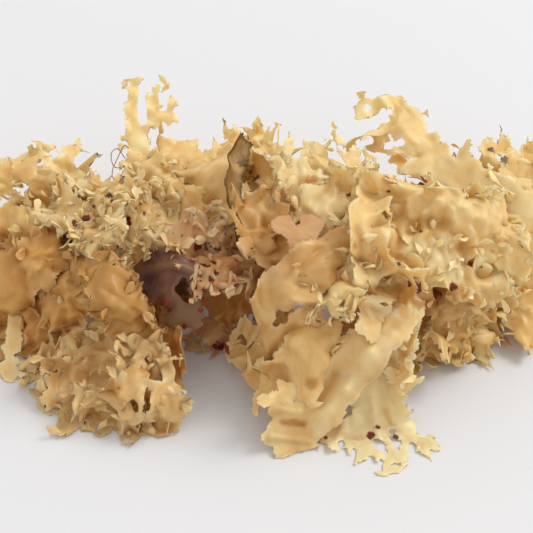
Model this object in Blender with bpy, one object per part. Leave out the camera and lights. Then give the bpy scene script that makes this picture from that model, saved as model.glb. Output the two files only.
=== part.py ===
"""Dried Irish moss: one tangled clump of fronds as it lies on a table.

Each frond is a thin leathery blade that rises from a narrow root and forks again and
again towards its tips. Its flat outline is laid on a bent, cupped and waved sheet,
made into a blade of even thickness, and cut short where it would meet a neighbour.
"""

import math
from dataclasses import dataclass

import bmesh
import bpy
import numpy as np
from mathutils import Vector
from mathutils.bvhtree import BVHTree
from mathutils.geometry import delaunay_2d_cdt

MM = 0.001

# The viewing frame that the sizes were read in. A point is given by how far across
# and up the picture it is seen, and by its height above the table, all in mm.
VIEW_ELEVATION = math.radians(45)
VIEW_DISTANCE = 480.0
TARGET_HEIGHT = 16.0
TO_VIEWER = np.array([0.0, -math.cos(VIEW_ELEVATION), math.sin(VIEW_ELEVATION)])
PICTURE_UP = np.array([0.0, math.sin(VIEW_ELEVATION), math.cos(VIEW_ELEVATION)])
TARGET = np.array([0.0, 0.0, TARGET_HEIGHT])
EYE = TARGET + VIEW_DISTANCE * TO_VIEWER

# Where the middle of the heap's footprint lies in that frame. It becomes the origin.
HEAP_CENTRE = np.array([1.45, 6.7, 0.0])

REST_HALF_THICKNESS = 0.35
TABLE_BEND = 1.5
SPINE_SAMPLES = 200
RUFFLE_REACH = 5.0


@dataclass
class Frond:
    """One frond of the moss. Lengths are in mm, angles in degrees, curls in 1/mm."""

    name: str
    colour: str
    path: tuple
    width: float
    seed: int
    root: float = 3.0
    forks: int = 1
    spread: float = 28.0
    stem: float = 0.5
    taper: float = 0.78
    roll: tuple = (0.0,)
    cup: tuple = (0.0,)
    wave: float = 1.2
    ruffle: float = 1.0
    lobes: float = 1.0
    arms: tuple = ()
    holes: tuple = ()
    leaflets: int = 0
    in_view: bool = True


def seen(across, up, height):
    """The point at this height that is seen at (across, up) in the picture."""
    in_plane = TARGET + np.array([across, 0.0, 0.0]) + up * PICTURE_UP
    reach = (EYE[2] - height) / (EYE[2] - in_plane[2])
    return EYE + reach * (in_plane - EYE)


def rippling(seed, wavelength, waves=7):
    """A smooth random field over the flat blade, three components of about -1 to 1."""
    rng = np.random.default_rng(seed)
    angle = rng.uniform(0, 2 * math.pi, (3, waves))
    number = 2 * math.pi / (wavelength * rng.uniform(0.75, 1.6, (3, waves)))
    phase = rng.uniform(0, 2 * math.pi, (3, waves))

    def field(s, t):
        s, t = s[..., None, None], t[..., None, None]
        turn = number * (s * np.cos(angle) + t * np.sin(angle)) + phase
        return np.sin(turn).sum(-1) * 1.3 / math.sqrt(waves)

    return field


def unit(vectors):
    return vectors / np.linalg.norm(vectors, axis=-1, keepdims=True)


def along(values, share):
    """Values given evenly from root to tip, read at a share of the length."""
    values = np.atleast_1d(np.asarray(values, float))
    return np.interp(share, np.linspace(0, 1, len(values)), values)


class Sheet:
    """The bent surface that a frond's flat outline is laid on: s runs up the blade
    from its root, t across it, and t is positive on the left as the viewer sees it."""

    def __init__(self, frond):
        points = [seen(*p) if frond.in_view else np.array(p, float) for p in frond.path]
        spine = smooth_curve(points)
        steps = np.linalg.norm(np.diff(spine, axis=0), axis=1)
        self.at = np.concatenate([[0.0], np.cumsum(steps)])
        self.length = self.at[-1]
        self.spine = spine
        tangent = unit(np.gradient(spine, self.at, axis=0))
        facing = unit(TO_VIEWER - (tangent @ TO_VIEWER)[:, None] * tangent)
        left = np.cross(facing, tangent)
        roll = np.radians(along(frond.roll, self.at / self.length))[:, None]
        self.tangent = tangent
        self.left = left * np.cos(roll) + facing * np.sin(roll)
        self.normal = facing * np.cos(roll) - left * np.sin(roll)
        self.cup = along(frond.cup, self.at / self.length)
        self.frond = frond
        self.waving = rippling(frond.seed + 1, 17.0)
        self.ruffling = rippling(frond.seed + 2, 8.0)

    def frame_at(self, s):
        pick = [np.interp(s, self.at, track[:, i]) for track in
                (self.spine, self.tangent, self.left, self.normal) for i in range(3)]
        return [np.stack(pick[i:i + 3], -1) for i in (0, 3, 6, 9)]

    def place(self, s, t, depth):
        """Points of the sheet. depth is how far each lies inside the blade's margin."""
        frond = self.frond
        inside = np.clip(s, 0, self.length)
        spine, tangent, left, normal = self.frame_at(inside)
        spine = spine + (s - inside)[..., None] * tangent
        cup = np.interp(inside, self.at, self.cup)
        cup = np.where(np.abs(cup) < 1e-4, 1e-4, cup)
        turn = np.clip(cup * t, -3.0, 3.0)
        point = (spine + (np.sin(turn) / cup)[..., None] * left
                 + ((1 - np.cos(turn)) / cup)[..., None] * normal)
        free = np.clip(s / (0.4 * self.length), 0, 1)
        low = self.waving(s, t) * (frond.wave * free)[..., None]
        edge = np.clip(1 - depth / RUFFLE_REACH, 0, 1) ** 1.5
        high = self.ruffling(s, t) * (frond.ruffle * free * edge)[..., None]
        shift = low + high
        point = (point + shift[..., 0:1] * normal + 0.45 * shift[..., 1:2] * left
                 + 0.45 * shift[..., 2:3] * tangent)
        return on_table(point, tangent) - HEAP_CENTRE


def on_table(point, tangent):
    """Where a blade comes down on the table it bends and runs on along it."""
    over = point[..., 2] - REST_HALF_THICKNESS
    bent = np.where(over > TABLE_BEND, over,
                    np.where(over < -TABLE_BEND, 0.0, (over + TABLE_BEND) ** 2 / (4 * TABLE_BEND)))
    level = np.hypot(tangent[..., 0], tangent[..., 1])
    onward = (bent - over) * np.maximum(-tangent[..., 2], 0) / (1 + level) / np.maximum(level, 0.05)
    laid = point.copy()
    laid[..., 0] += onward * tangent[..., 0]
    laid[..., 1] += onward * tangent[..., 1]
    laid[..., 2] = REST_HALF_THICKNESS + bent
    return laid


def smooth_curve(points):
    """A Catmull-Rom curve through the points."""
    points = np.array([2 * points[0] - points[1], *points, 2 * points[-1] - points[-2]])
    pieces = len(points) - 3
    place = np.linspace(0, pieces, SPINE_SAMPLES)
    piece = np.minimum(place.astype(int), pieces - 1)
    x = (place - piece)[:, None]
    a, b, c, d = (points[piece + i] for i in range(4))
    return 0.5 * (2 * b + (c - a) * x + (2 * a - 5 * b + 4 * c - d) * x ** 2
                  + (3 * b - a - 3 * c + d) * x ** 3)


def fork_tree(segments, rng, start, heading, length, half, forks, frond, stem, first):
    """A strap that divides in two again and again, as tapered round-ended segments."""
    step = length if forks == 0 else length * stem
    end = start + step * np.array([math.cos(heading), math.sin(heading)])
    wide = half if forks else half * 0.8
    segments.append((*start, *end, first, wide))
    for side in (-1, 1) if forks else ():
        turn = side * math.radians(frond.spread) * rng.uniform(0.7, 1.3)
        fork_tree(segments, rng, end, heading + turn, (length - step) * rng.uniform(0.85, 1.2),
                  half * frond.taper * rng.uniform(0.85, 1.1), forks - 1, frond,
                  1.2 / (forks + 0.4), half * frond.taper * 0.9)


def lobes_on(segments, rng, per_cm, length, half):
    """Short lobes that stand out from both margins of each segment."""
    made = []
    for x0, y0, x1, y1, r0, r1 in segments:
        run = math.hypot(x1 - x0, y1 - y0)
        heading = math.atan2(y1 - y0, x1 - x0)
        for side in (-1, 1):
            for _ in range(rng.poisson(per_cm * run / 10)):
                share = rng.uniform(0.15, 1.05)
                out = heading + side * math.radians(rng.uniform(35, 85))
                wide = half * rng.uniform(0.8, 1.3)
                reach = r0 + (r1 - r0) * share + length * rng.uniform(0.3, 1.2)
                x, y = x0 + (x1 - x0) * share, y0 + (y1 - y0) * share
                made.append((x, y, x + reach * math.cos(out), y + reach * math.sin(out),
                             wide, wide * 0.8))
    return made


class Plan:
    """The flat outline of a frond, as a signed distance: negative inside the blade."""

    def __init__(self, frond, length):
        rng = np.random.default_rng(frond.seed)
        straps = []
        half = frond.width / 2
        fork_tree(straps, rng, np.zeros(2), 0.0, length, half, frond.forks, frond,
                  frond.stem, frond.root / 2)
        for share, angle, reach, width, forks in frond.arms:
            fork_tree(straps, rng, np.array([share * length, 0.0]), math.radians(angle), reach,
                      width / 2, forks, frond, 0.55, width / 2)
        self.straps = straps
        self.lobes = lobes_on(straps, rng, frond.lobes, 2.6, 0.95)
        self.holes = frond.holes
        self.blend = 0.04 * frond.width + 0.5
        self.wobble = rippling(frond.seed + 3, 7.0)

    def distance(self, s, t):
        straps = blended([capsule(s, t, seg) for seg in self.straps], self.blend)
        lobes = [capsule(s, t, seg) for seg in self.lobes]
        solid = blended([straps, *lobes], 0.9)
        solid = solid + 0.45 * self.wobble(s, t)[..., 0] - 0.1
        for s0, t0, radius in self.holes:
            hole = radius - np.hypot(s - s0, (t - t0) * 1.25)
            solid = np.maximum(solid, hole + 0.3 * self.wobble(s, t)[..., 1])
        return solid

    def box(self):
        ends = np.array([[s[0], s[1]] for s in self.straps + self.lobes]
                        + [[s[2], s[3]] for s in self.straps + self.lobes])
        room = max(max(s[4:]) for s in self.straps) + 1.5
        return ends.min(0) - room, ends.max(0) + room


def capsule(s, t, segment):
    """Distance to a round-ended segment whose half width changes along it."""
    x0, y0, x1, y1, r0, r1 = segment
    dx, dy = x1 - x0, y1 - y0
    share = np.clip(((s - x0) * dx + (t - y0) * dy) / (dx * dx + dy * dy + 1e-9), 0, 1)
    return np.hypot(s - x0 - share * dx, t - y0 - share * dy) - (r0 + (r1 - r0) * share)


def blended(distances, reach):
    """A smooth union, which rounds the angle where two straps part."""
    whole = distances[0]
    for other in distances[1:]:
        mix = np.clip(0.5 + 0.5 * (other - whole) / reach, 0, 1)
        whole = other * (1 - mix) + whole * mix - reach * mix * (1 - mix)
    return whole


FRONDS = (
    # The centre front: broad pale blades that hang down to the table.
    Frond("heart_leaf", "rose", ((9.5, 10, 35), (8.8, 14.5, 39), (8, 20.5, 41)),
          6.5, 129, root=3, spread=36, stem=0.5, lobes=0.0, ruffle=0.2, wave=0.3),
    Frond("front_leaf", "blond", ((20, 15, 37), (12, 9, 37), (5, 0, 31), (2, -9, 22), (4, -17, 14)),
          16, 101, root=7, spread=26, stem=0.6, cup=(-0.02, -0.06), roll=(0, 10),
          arms=((0.42, 62, 12, 7, 1), (0.6, 50, 10, 6, 0)), lobes=0.4, ruffle=1.0),
    Frond("front_strap", "blond", ((33, -2, 27), (27, -10, 24), (19, -20, 15), (12.3, -28.5, 8),
          (4.6, -35, 3)),
          11, 102, root=12, spread=22, stem=0.82, cup=(-0.07, -0.05, 0.02), roll=(10, -20),
          arms=((0.6, -50, 13, 6, 0), (0.78, -55, 11, 5, 1)), lobes=0.3, wave=0.7, ruffle=0.7),
    Frond("front_fan", "blond", ((33, -8, 19), (30, -18, 11), (28, -28, 4), (26.8, -42, -7)),
          12, 103, root=10, forks=2, spread=34, stem=0.52, cup=(-0.03, 0.03), lobes=0.6,
          holes=((28, 4, 2.0), (34, 5, 1.6)), wave=0.8, ruffle=0.8),
    Frond("side_strap", "blond", ((34.5, -4, 24), (35.5, -12, 18), (33, -20.5, 12)),
          4, 151, root=4, forks=0, cup=(0.25,), roll=(25, 40), lobes=0.8, wave=0.5, ruffle=0.8),
    Frond("centre_column", "blond", ((26.5, 27, 40), (25, 19.5, 42), (26.5, 11, 38), (30, 2.5, 31),
          (33, -4, 27)),
          9, 104, root=7, forks=2, spread=34, stem=0.6, cup=(0.16, 0.2, 0.05), lobes=1.6, ruffle=2.2,
          holes=((35, -1, 1.3),)),
    Frond("inner_fold", "blond", ((33.5, 21, 37), (32.5, 12.5, 37), (32.5, 4, 31), (36, -2, 26)),
          11, 105, root=6, spread=30, stem=0.6, cup=(0.1, 0.08), roll=(-30, -10), ruffle=1.5),
    Frond("centre_bunch", "blond", ((27, 12, 33), (22, 5, 34), (20, -2, 30), (21, -8, 25)),
          9, 106, root=5, forks=3, spread=40, stem=0.3, lobes=2.0, ruffle=2.4, wave=1.6),
    Frond("front_leaf_low", "tan", ((14, -4, 27), (11, -11, 23), (8, -19, 16), (3, -25, 9)),
          14, 107, root=8, spread=30, stem=0.6, cup=(-0.05,), ruffle=1.2),
    Frond("left_hook", "tan", ((6, -25, 8), (1, -17, 12), (-3.5, -12, 12.5), (-7, -9.5, 11)),
          6.5, 108, root=4, spread=25, stem=0.7, lobes=0.6, holes=((19, 0, 1.7),)),
    Frond("long_arch", "olive", ((13, 28.5, 33), (20, 27, 38), (31, 22, 41), (41, 16, 39),
          (49, 10.5, 34), (55, 6, 27)),
          22, 109, root=4, forks=2, spread=22, stem=0.6, cup=(-0.02, -0.04), lobes=2.0,
          ruffle=2.8, wave=1.4),
    Frond("right_cluster", "tan", ((36.5, 2.5, 22), (43.5, -1, 20), (50.5, -4, 13), (56.5, -7.5, 5)),
          10, 110, root=4, forks=3, spread=30, stem=0.34, lobes=2.0, ruffle=2.2, wave=1.6),
    Frond("right_cluster_low", "tan", ((37, 0, 16), (43.5, -8, 11), (51, -14, -2)),
          11, 111, root=4, forks=2, spread=34, stem=0.45, lobes=2.0, ruffle=2.0, roll=(20, 30)),
    Frond("thin_strap", "tan", ((30.5, -3, 18), (35.5, -6.5, 13), (40.5, -12, 6)),
          3.4, 112, root=3, forks=0, lobes=0.0, ruffle=0.2, wave=0.3),
    # The far right: a long forked frond that reaches back over the table.
    Frond("back_right_frond", "blond", ((70, 17, 24), (60, 24, 30), (48, 31, 35), (39, 39, 37),
          (35, 46, 37),
          (30.5, 49.3, 36), (24.5, 47.8, 35)),
          4.2, 113, root=13, forks=0, lobes=0.3, wave=0.8, ruffle=0.7,
          arms=((0.78, 50, 15, 5, 0), (0.7, 62, 17, 6, 1), (0.5, 66, 8, 6, 0), (0.35, -30, 9, 4, 1)),
          holes=((58, 4.5, 1.3),)),
    Frond("back_right_blade", "tan", ((73, 9.5, 18), (61, 15, 22), (48.5, 21, 25), (41, 27.5, 23),
          (36, 35, 19)),
          16, 114, root=12, spread=30, stem=0.8, cup=(-0.03,), lobes=0.4, ruffle=1.2),
    Frond("right_end", "tan", ((58, 21, 22), (63.5, 13, 21), (69, 4, 14), (73, -1.5, 5)),
          19, 115, root=8, forks=2, spread=28, stem=0.5, lobes=1.4, ruffle=2.0, cup=(0.03,)),
    Frond("right_end_low", "amber", ((58.5, 15, 14), (63.5, 7.5, 12), (62, -2.5, 3)),
          14, 116, root=6, spread=30, stem=0.6, lobes=0.8, ruffle=1.6),
    Frond("right_back_lobes", "olive", ((50, 26, 26), (56, 31, 28), (58.5, 38, 31)),
          4, 117, root=4, spread=30, stem=0.7, arms=((0.5, -55, 14, 6, 1), (0.2, 50, 8, 4, 1)), lobes=1.2),
    Frond("right_back_blade", "olive", ((56, 24, 25), (64, 28.5, 27), (73, 32.5, 26)),
          10, 118, root=6, forks=2, spread=28, stem=0.5, lobes=1.2, ruffle=1.4),
    # The middle of the back: smooth brown blades with ragged tips against the light.
    Frond("dark_strap", "umber", ((-5, 13.5, 27), (-7.5, 24, 34), (-8.5, 31, 38), (-6, 38, 40)),
          6.5, 119, root=5, forks=0, cup=(0.2, 0.28), roll=(35, 25), lobes=0.0, wave=0.3, ruffle=0.5),
    Frond("curled_cup", "blond", ((6, 12, 30), (0, 15, 35), (-1.5, 25, 37)),
          14, 128, root=6, spread=24, stem=0.7, cup=(0.06, 0.12), ruffle=1.8, lobes=0.8),
    Frond("upper_blade", "blond", ((11, 16, 32), (14, 23, 37), (20, 27.5, 40)),
          10, 130, root=5, spread=28, stem=0.6, cup=(0.05,), ruffle=1.5),
    Frond("pale_blade", "blond", ((9, 17, 33), (9.5, 25, 37), (10, 31.5, 40)),
          10, 127, root=6, spread=26, stem=0.7, lobes=1.2),
    Frond("crest_spikes", "blond", ((14, 23, 30), (13, 31, 36), (13, 40, 41)),
          4, 125, root=4, forks=3, spread=24, stem=0.4, lobes=1.6, ruffle=0.9),
    Frond("small_antler", "blond", ((20, 25, 31), (21, 31, 34), (23.5, 36, 36)),
          2.3, 126, root=3, forks=2, spread=30, stem=0.5, lobes=1.0, ruffle=0.5),
    Frond("back_spikes", "blond", ((5, 26, 28), (3.5, 34, 33), (1.5, 41, 36)),
          2.6, 124, root=3, forks=2, spread=26, stem=0.55, lobes=1.0, ruffle=0.7),
    Frond("back_curl", "blond", ((0, 27, 25), (-3, 35.5, 30), (-7.5, 42.5, 32)),
          10, 123, root=4, spread=34, stem=0.6, ruffle=1.6),
    Frond("mid_back_blade", "tan", ((-8, 15, 23), (-10.5, 23, 28), (-13.5, 31.5, 31), (-15.5, 41, 31)),
          15, 120, root=6, spread=30, stem=0.55, lobes=0.6),
    Frond("back_ridge", "blond", ((-2, 29, 24), (-9, 33, 28), (-17, 35, 31), (-27, 35, 30)),
          10, 122, root=5, spread=30, stem=0.6, ruffle=1.8, lobes=1.6, holes=((14, -2, 1.3),)),
    Frond("mid_left_blade", "tan", ((-7, 14, 24), (-16.5, 20, 28), (-25, 24, 29), (-33, 27, 26)),
          13, 121, root=5, spread=26, stem=0.6, lobes=0.8),
    # The left: an upright spire, a strap on the far side, and a crest of leaflets.
    Frond("spire", "blond", ((-33.5, 26, 25), (-33.2, 37.5, 31), (-33, 46, 36), (-32.7, 54.5, 41)),
          2.6, 131, root=4.5, forks=0, arms=((0.5, -32, 12.5, 3.0, 0),
          (0.52, -60, 11.5, 2.6, 0)), lobes=0.4,
          wave=0.4, ruffle=0.3),
    Frond("left_top_blade", "blond", ((-73, 27, 15), (-64, 31, 20), (-57, 32, 22), (-49.5, 31.5, 21)),
          9, 132, root=9, spread=22, stem=0.7, holes=((17, 2, 1.8), (25, -3, 1.6)), lobes=1.0),
    Frond("left_crest", "blond", ((-39, 9, 26), (-41.5, 16, 32), (-44, 22.5, 34), (-45, 27.5, 31)),
          11, 236, root=5, forks=2, spread=30, stem=0.45, lobes=1.5, ruffle=1.6, leaflets=9),
    Frond("left_crest_right", "blond", ((-37, 11, 25), (-31.5, 17.5, 30), (-24, 22, 29)),
          12, 137, root=5, forks=2, spread=30, stem=0.5, lobes=1.5, ruffle=1.6, leaflets=9),
    Frond("left_shoulder", "tan", ((-43, 14, 24), (-51.5, 20, 28), (-59, 19, 22)),
          11, 238, root=5, forks=2, spread=30, stem=0.5, lobes=1.5, ruffle=1.5, leaflets=9),
    Frond("toothed_blade", "tan", ((-46, 11, 28), (-40, 4, 29), (-35, -4, 23), (-34, -9, 17)),
          10, 141, root=8, forks=0, lobes=2.6, cup=(-0.06,), ruffle=1.2),
    Frond("plum_blade", "plum", ((-33, 7, 22), (-26, 6, 26), (-19.5, 2.5, 24), (-15, -6, 17)),
          16, 139, root=10, spread=20, stem=0.8, cup=(-0.05,), lobes=0.2, wave=0.6, ruffle=0.7,
          holes=((15.5, 0.5, 1.7),)),
    Frond("garnet_ruffle", "garnet", ((-19, 2, 24), (-15, 9, 28), (-12, 15.5, 28)),
          7, 140, root=4, forks=2, spread=36, stem=0.35, lobes=2.4, ruffle=2.0, leaflets=7),
    Frond("left_mid_blade", "amber", ((-45, 15, 24), (-54, 11, 26), (-63, 6, 20), (-71, 2, 11)),
          16, 133, root=8, spread=28, stem=0.65, cup=(-0.05,), lobes=0.5),
    Frond("left_side_blade", "tan", ((-45, 13, 22), (-58, 16, 25), (-69, 14, 19)),
          13, 134, root=6, spread=28, stem=0.6, cup=(-0.04,), lobes=0.7),
    Frond("left_front_blade", "amber", ((-42, 7, 22), (-51.5, 2, 18), (-59, -3, 11), (-65, -9, 3)),
          14, 135, root=8, spread=30, stem=0.5, cup=(-0.04,), lobes=1.0,
          arms=((0.35, 55, 12, 6, 1),)),
    Frond("left_fan", "blond", ((-33, -5, 16), (-35, -12.5, 12), (-39.5, -21, 6), (-44.5, -32, -4)),
          13, 142, root=6, forks=3, spread=32, stem=0.35, lobes=1.6, ruffle=1.8),
    Frond("left_fan_right", "blond", ((-31, -6, 18), (-30, -15, 15), (-30.5, -23.5, 10), (-32, -32, 1)),
          9, 143, root=6, forks=3, spread=26, stem=0.4, lobes=1.6, ruffle=1.6),
    Frond("left_fan_left", "blond", ((-39, -6, 10), (-47, -15, 5), (-53, -27, -5)),
          10, 144, root=4, forks=2, spread=30, stem=0.5, lobes=1.4, ruffle=1.2),
    Frond("brown_curve", "amber", ((-25, -5, 14), (-22.5, -12.5, 11), (-24.5, -21, 4)),
          8, 145, root=5, spread=26, stem=0.7, roll=(40, 20), cup=(0.08,)),
    Frond("left_low", "tan", ((-50, 2, 12), (-60, -4, 8), (-69, -8, -1)),
          11, 146, root=5, forks=2, spread=30, stem=0.5, lobes=1.6, ruffle=1.6),
    Frond("left_hanging_strap", "blond", ((-62, -3, 9), (-64, -12, 4), (-64, -19, 0)),
          4.2, 147, root=3, forks=0, lobes=0.2, ruffle=0.2, wave=0.3),
    Frond("garnet_lobe", "garnet", ((-3, -8, 9), (-9, -10, 5), (-15, -10.5, 1)),
          7, 148, root=4, spread=26, stem=0.6, lobes=1.4),
    # What the heap holds inside and what it stands on.
    Frond("inner_left", "amber", ((-2, 2, 14), (-13, 3, 17), (-24, 5, 18), (-36, 3, 14)),
          18, 149, root=8, spread=28, stem=0.6, lobes=0.8, ruffle=1.4),
    Frond("inner_right", "amber", ((6, 4, 16), (20, 8, 19), (34, 10, 20), (48, 12, 16)),
          20, 150, root=8, spread=28, stem=0.6, lobes=0.8, ruffle=1.4),
    Frond("inner_front", "tan", ((24, 2, 20), (16, -4, 17), (8, -10, 11), (0, -14, 3)),
          13, 152, root=6, forks=2, spread=30, stem=0.5, lobes=0.8, ruffle=1.2),
    Frond("back_foot_left", "tan", ((-30, 18, 21), (-33, 30, 19), (-36, 38, 10), (-38, 42, -5)),
          16, 153, root=5, forks=2, spread=32, stem=0.4, lobes=1.2, ruffle=1.5, in_view=False),
    Frond("back_foot_middle", "blond", ((0, 20, 24), (-2, 33, 21), (-4, 40, 11), (-5, 44, -5)),
          18, 154, root=5, forks=2, spread=32, stem=0.4, lobes=1.2, ruffle=1.5, in_view=False),
    Frond("back_foot_right", "tan", ((36, 20, 22), (38, 31, 19), (40, 39, 9), (42, 44, -5)),
          16, 155, root=5, forks=2, spread=32, stem=0.4, lobes=1.2, ruffle=1.5, in_view=False),
    Frond("back_middle_left", "amber", ((-14, 18, 20), (-17, 30, 17), (-19, 38, 10), (-21, 42, 3)),
          14, 158, root=5, forks=1, spread=28, stem=0.4, lobes=1.2, ruffle=1.5, in_view=False),
    Frond("back_middle_right", "tan", ((17, 20, 25), (19, 32, 24), (21, 40, 15), (22, 44, 5)),
          15, 159, root=5, forks=2, spread=32, stem=0.4, lobes=1.2, ruffle=1.5, in_view=False),
    Frond("back_left_end", "amber", ((-50, 8, 16), (-55, 20, 14), (-60, 28, 6), (-64, 32, -4)),
          15, 156, root=5, forks=2, spread=30, stem=0.4, lobes=1.0, ruffle=1.4, in_view=False),
    Frond("back_right_end", "amber", ((58, 12, 15), (62, 22, 12), (67, 30, 5), (71, 36, -4)),
          15, 157, root=5, forks=2, spread=30, stem=0.4, lobes=1.0, ruffle=1.4, in_view=False),
)

BLADE_THICKNESS = 2 * REST_HALF_THICKNESS
GAP = 0.3
FIRST_CLEARANCE = 1.2
CLEARANCE_STEP = 0.35
TRIES = 6
FAR = 50.0

GRID_STEP = 0.7
OUTLINE_SLACK = 0.4
LONGEST_EDGE = 5.0
FACET_SPACING = 4.6
FACET_MARGIN = 1.5
SMALLEST_LOOP = 3.0

LEAFLET_THICKNESS = 0.65
LEAFLET_OUTLINE = ((-1.2, 0.8), (2.0, 1.8), (3.6, 0.9))
SHORTEST_EDGE = 0.002

COLOURS = {
    "blond": (0.80, 0.64, 0.38),
    "tan": (0.68, 0.48, 0.23),
    "amber": (0.55, 0.33, 0.11),
    "olive": (0.66, 0.55, 0.28),
    "umber": (0.42, 0.27, 0.10),
    "rose": (0.74, 0.50, 0.36),
    "plum": (0.28, 0.14, 0.11),
    "garnet": (0.42, 0.12, 0.08),
}
ROUGHNESS = 0.5


class Neighbours:
    """The faces of the fronds made so far, which is asked how near they are."""

    def __init__(self):
        self.points = []
        self.faces = []
        self.tree = None

    def add(self, points, faces):
        first = len(self.points)
        self.points += [Vector(p) for p in points]
        self.faces += [[first + corner for corner in face] for face in faces]
        self.tree = BVHTree.FromPolygons(self.points, self.faces)

    def distance(self, points):
        if self.tree is None:
            return np.full(len(points), FAR)
        found = [self.tree.find_nearest(Vector(p), FAR)[3] for p in points]
        return np.array([FAR if reach is None else reach for reach in found])

    def crossed_by(self, points, faces):
        if self.tree is None:
            return False
        return bool(self.tree.overlap(BVHTree.FromPolygons([Vector(p) for p in points], faces)))


def largest_patch(field):
    """The field with all but its largest inside patch turned to outside."""
    left = {(int(i), int(j)) for i, j in np.argwhere(field < 0)}
    largest = set()
    while left:
        patch, front = set(), [left.pop()]
        while front:
            i, j = front.pop()
            patch.add((i, j))
            for near in ((i + 1, j), (i - 1, j), (i, j + 1), (i, j - 1)):
                if near in left:
                    left.remove(near)
                    front.append(near)
        if len(patch) > len(largest):
            largest = patch
    kept = np.full(field.shape, False)
    for place in largest:
        kept[place] = True
    return np.where(kept, field, np.maximum(field, 0.5 * GRID_STEP))


def free_outline(plan, sheet, neighbours, clearance):
    """The plan's distances over a grid, with what comes near a neighbour cut away."""
    low, high = plan.box()
    s, t = np.meshgrid(np.arange(low[0], high[0], GRID_STEP),
                       np.arange(low[1], high[1], GRID_STEP), indexing="ij")
    field = plan.distance(s, t)
    inside = field < 0
    where = sheet.place(s[inside], t[inside], -field[inside])
    field[inside] = np.maximum(field[inside], clearance - neighbours.distance(where))
    return s, t, largest_patch(field)


def contour_loops(s, t, field):
    """Closed loops where the field is zero, with the inside always on their left."""
    ahead, place = {}, {}
    inside = field < 0
    mixed = (inside[:-1, :-1] | inside[1:, :-1] | inside[1:, 1:] | inside[:-1, 1:]) & ~(
        inside[:-1, :-1] & inside[1:, :-1] & inside[1:, 1:] & inside[:-1, 1:])
    for i, j in np.argwhere(mixed):
        ring = [(i, j), (i + 1, j), (i + 1, j + 1), (i, j + 1)]
        sides = [(ring[k], ring[(k + 1) % 4]) for k in range(4)]
        for k in range(4):
            a, b = sides[k]
            if not (inside[a] and not inside[b]):
                continue
            share = field[a] / (field[a] - field[b])
            place[a, b] = (s[a] + share * (s[b] - s[a]), t[a] + share * (t[b] - t[a]))
            back = next(sides[(k + turn) % 4] for turn in (1, 2, 3)
                        if not inside[sides[(k + turn) % 4][0]]
                        and inside[sides[(k + turn) % 4][1]])
            ahead[a, b] = (back[1], back[0])
    loops = []
    while ahead:
        start = next(iter(ahead))
        loop, edge = [], start
        while edge in ahead:
            loop.append(place[edge])
            edge = ahead.pop(edge)
        loops.append(np.array(loop))
    return loops


def simplified(points, slack):
    """The points that an open line needs to stay within the slack of its shape."""
    if len(points) < 3:
        return [points[0]]
    chord = points[-1] - points[0]
    offset = points - points[0]
    length = math.hypot(*chord)
    away = (np.abs(chord[0] * offset[:, 1] - chord[1] * offset[:, 0]) / length if length > 1e-6
            else np.hypot(offset[:, 0], offset[:, 1]))
    far = int(np.argmax(away))
    if away[far] <= slack:
        return [points[0]]
    return simplified(points[:far + 1], slack) + simplified(points[far:], slack)


def few_points(loop):
    """A closed loop with only the points that its shape needs, none too far apart."""
    far = int(np.argmax(np.hypot(*(loop - loop[0]).T)))
    around = np.vstack([loop, loop[:1]])
    kept = simplified(around[:far + 1], OUTLINE_SLACK) + simplified(around[far:], OUTLINE_SLACK)
    ring = []
    for here, following in zip(kept, kept[1:] + kept[:1]):
        pieces = max(1, math.ceil(math.hypot(*(following - here)) / LONGEST_EDGE))
        ring += [here + (following - here) * piece / pieces for piece in range(pieces)]
    return ring


def loop_area(loop):
    x, y = np.asarray(loop).T
    return 0.5 * abs(np.dot(x, np.roll(y, -1)) - np.dot(y, np.roll(x, -1)))


def inner_points(s, t, field):
    """Points in rows across the blade, well inside its margin."""
    rows = FACET_SPACING * math.sqrt(3) / 2
    points = []
    for row, at_s in enumerate(np.arange(s[0, 0] + 1.0, s[-1, 0], rows)):
        for at_t in np.arange(t[0, 0] + (row % 2) * FACET_SPACING / 2, t[0, -1], FACET_SPACING):
            i = min(int(round((at_s - s[0, 0]) / GRID_STEP)), field.shape[0] - 1)
            j = min(int(round((at_t - t[0, 0]) / GRID_STEP)), field.shape[1] - 1)
            if field[i, j] < -FACET_MARGIN:
                points.append((at_s, at_t))
    return points


def is_inside(points, rings):
    """Whether each point lies inside the loops, by counting the edges to its right."""
    crossings = np.zeros(len(points), int)
    x, y = points.T
    for ring in rings:
        here = np.array(ring)
        there = np.roll(here, -1, axis=0)
        for (x0, y0), (x1, y1) in zip(here, there):
            spans = (y0 > y) != (y1 > y)
            with np.errstate(divide="ignore", invalid="ignore"):
                meet = x0 + (y - y0) * (x1 - x0) / (y1 - y0)
            crossings += spans & (x < meet)
    return crossings % 2 == 1


def facets(s, t, field):
    """Triangles that fill the outline: their corners, and three corners for each."""
    rings = [few_points(loop) for loop in contour_loops(s, t, field)
             if loop_area(loop) > SMALLEST_LOOP]
    rings = [ring for ring in rings if len(ring) > 2]
    points, edges = [], []
    for ring in rings:
        first = len(points)
        points += [tuple(p) for p in ring]
        edges += [(first + k, first + (k + 1) % len(ring)) for k in range(len(ring))]
    points += inner_points(s, t, field)
    made = delaunay_2d_cdt([Vector(p) for p in points], edges, [], 0, 1e-4)
    corners = np.array([tuple(v) for v in made[0]])
    triangles = np.array([tuple(face) for face in made[2]])
    middle = corners[triangles].mean(axis=1)
    triangles = in_one_piece(triangles[is_inside(middle, rings)].tolist())
    return parted_at_pinches(corners, triangles)


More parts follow.
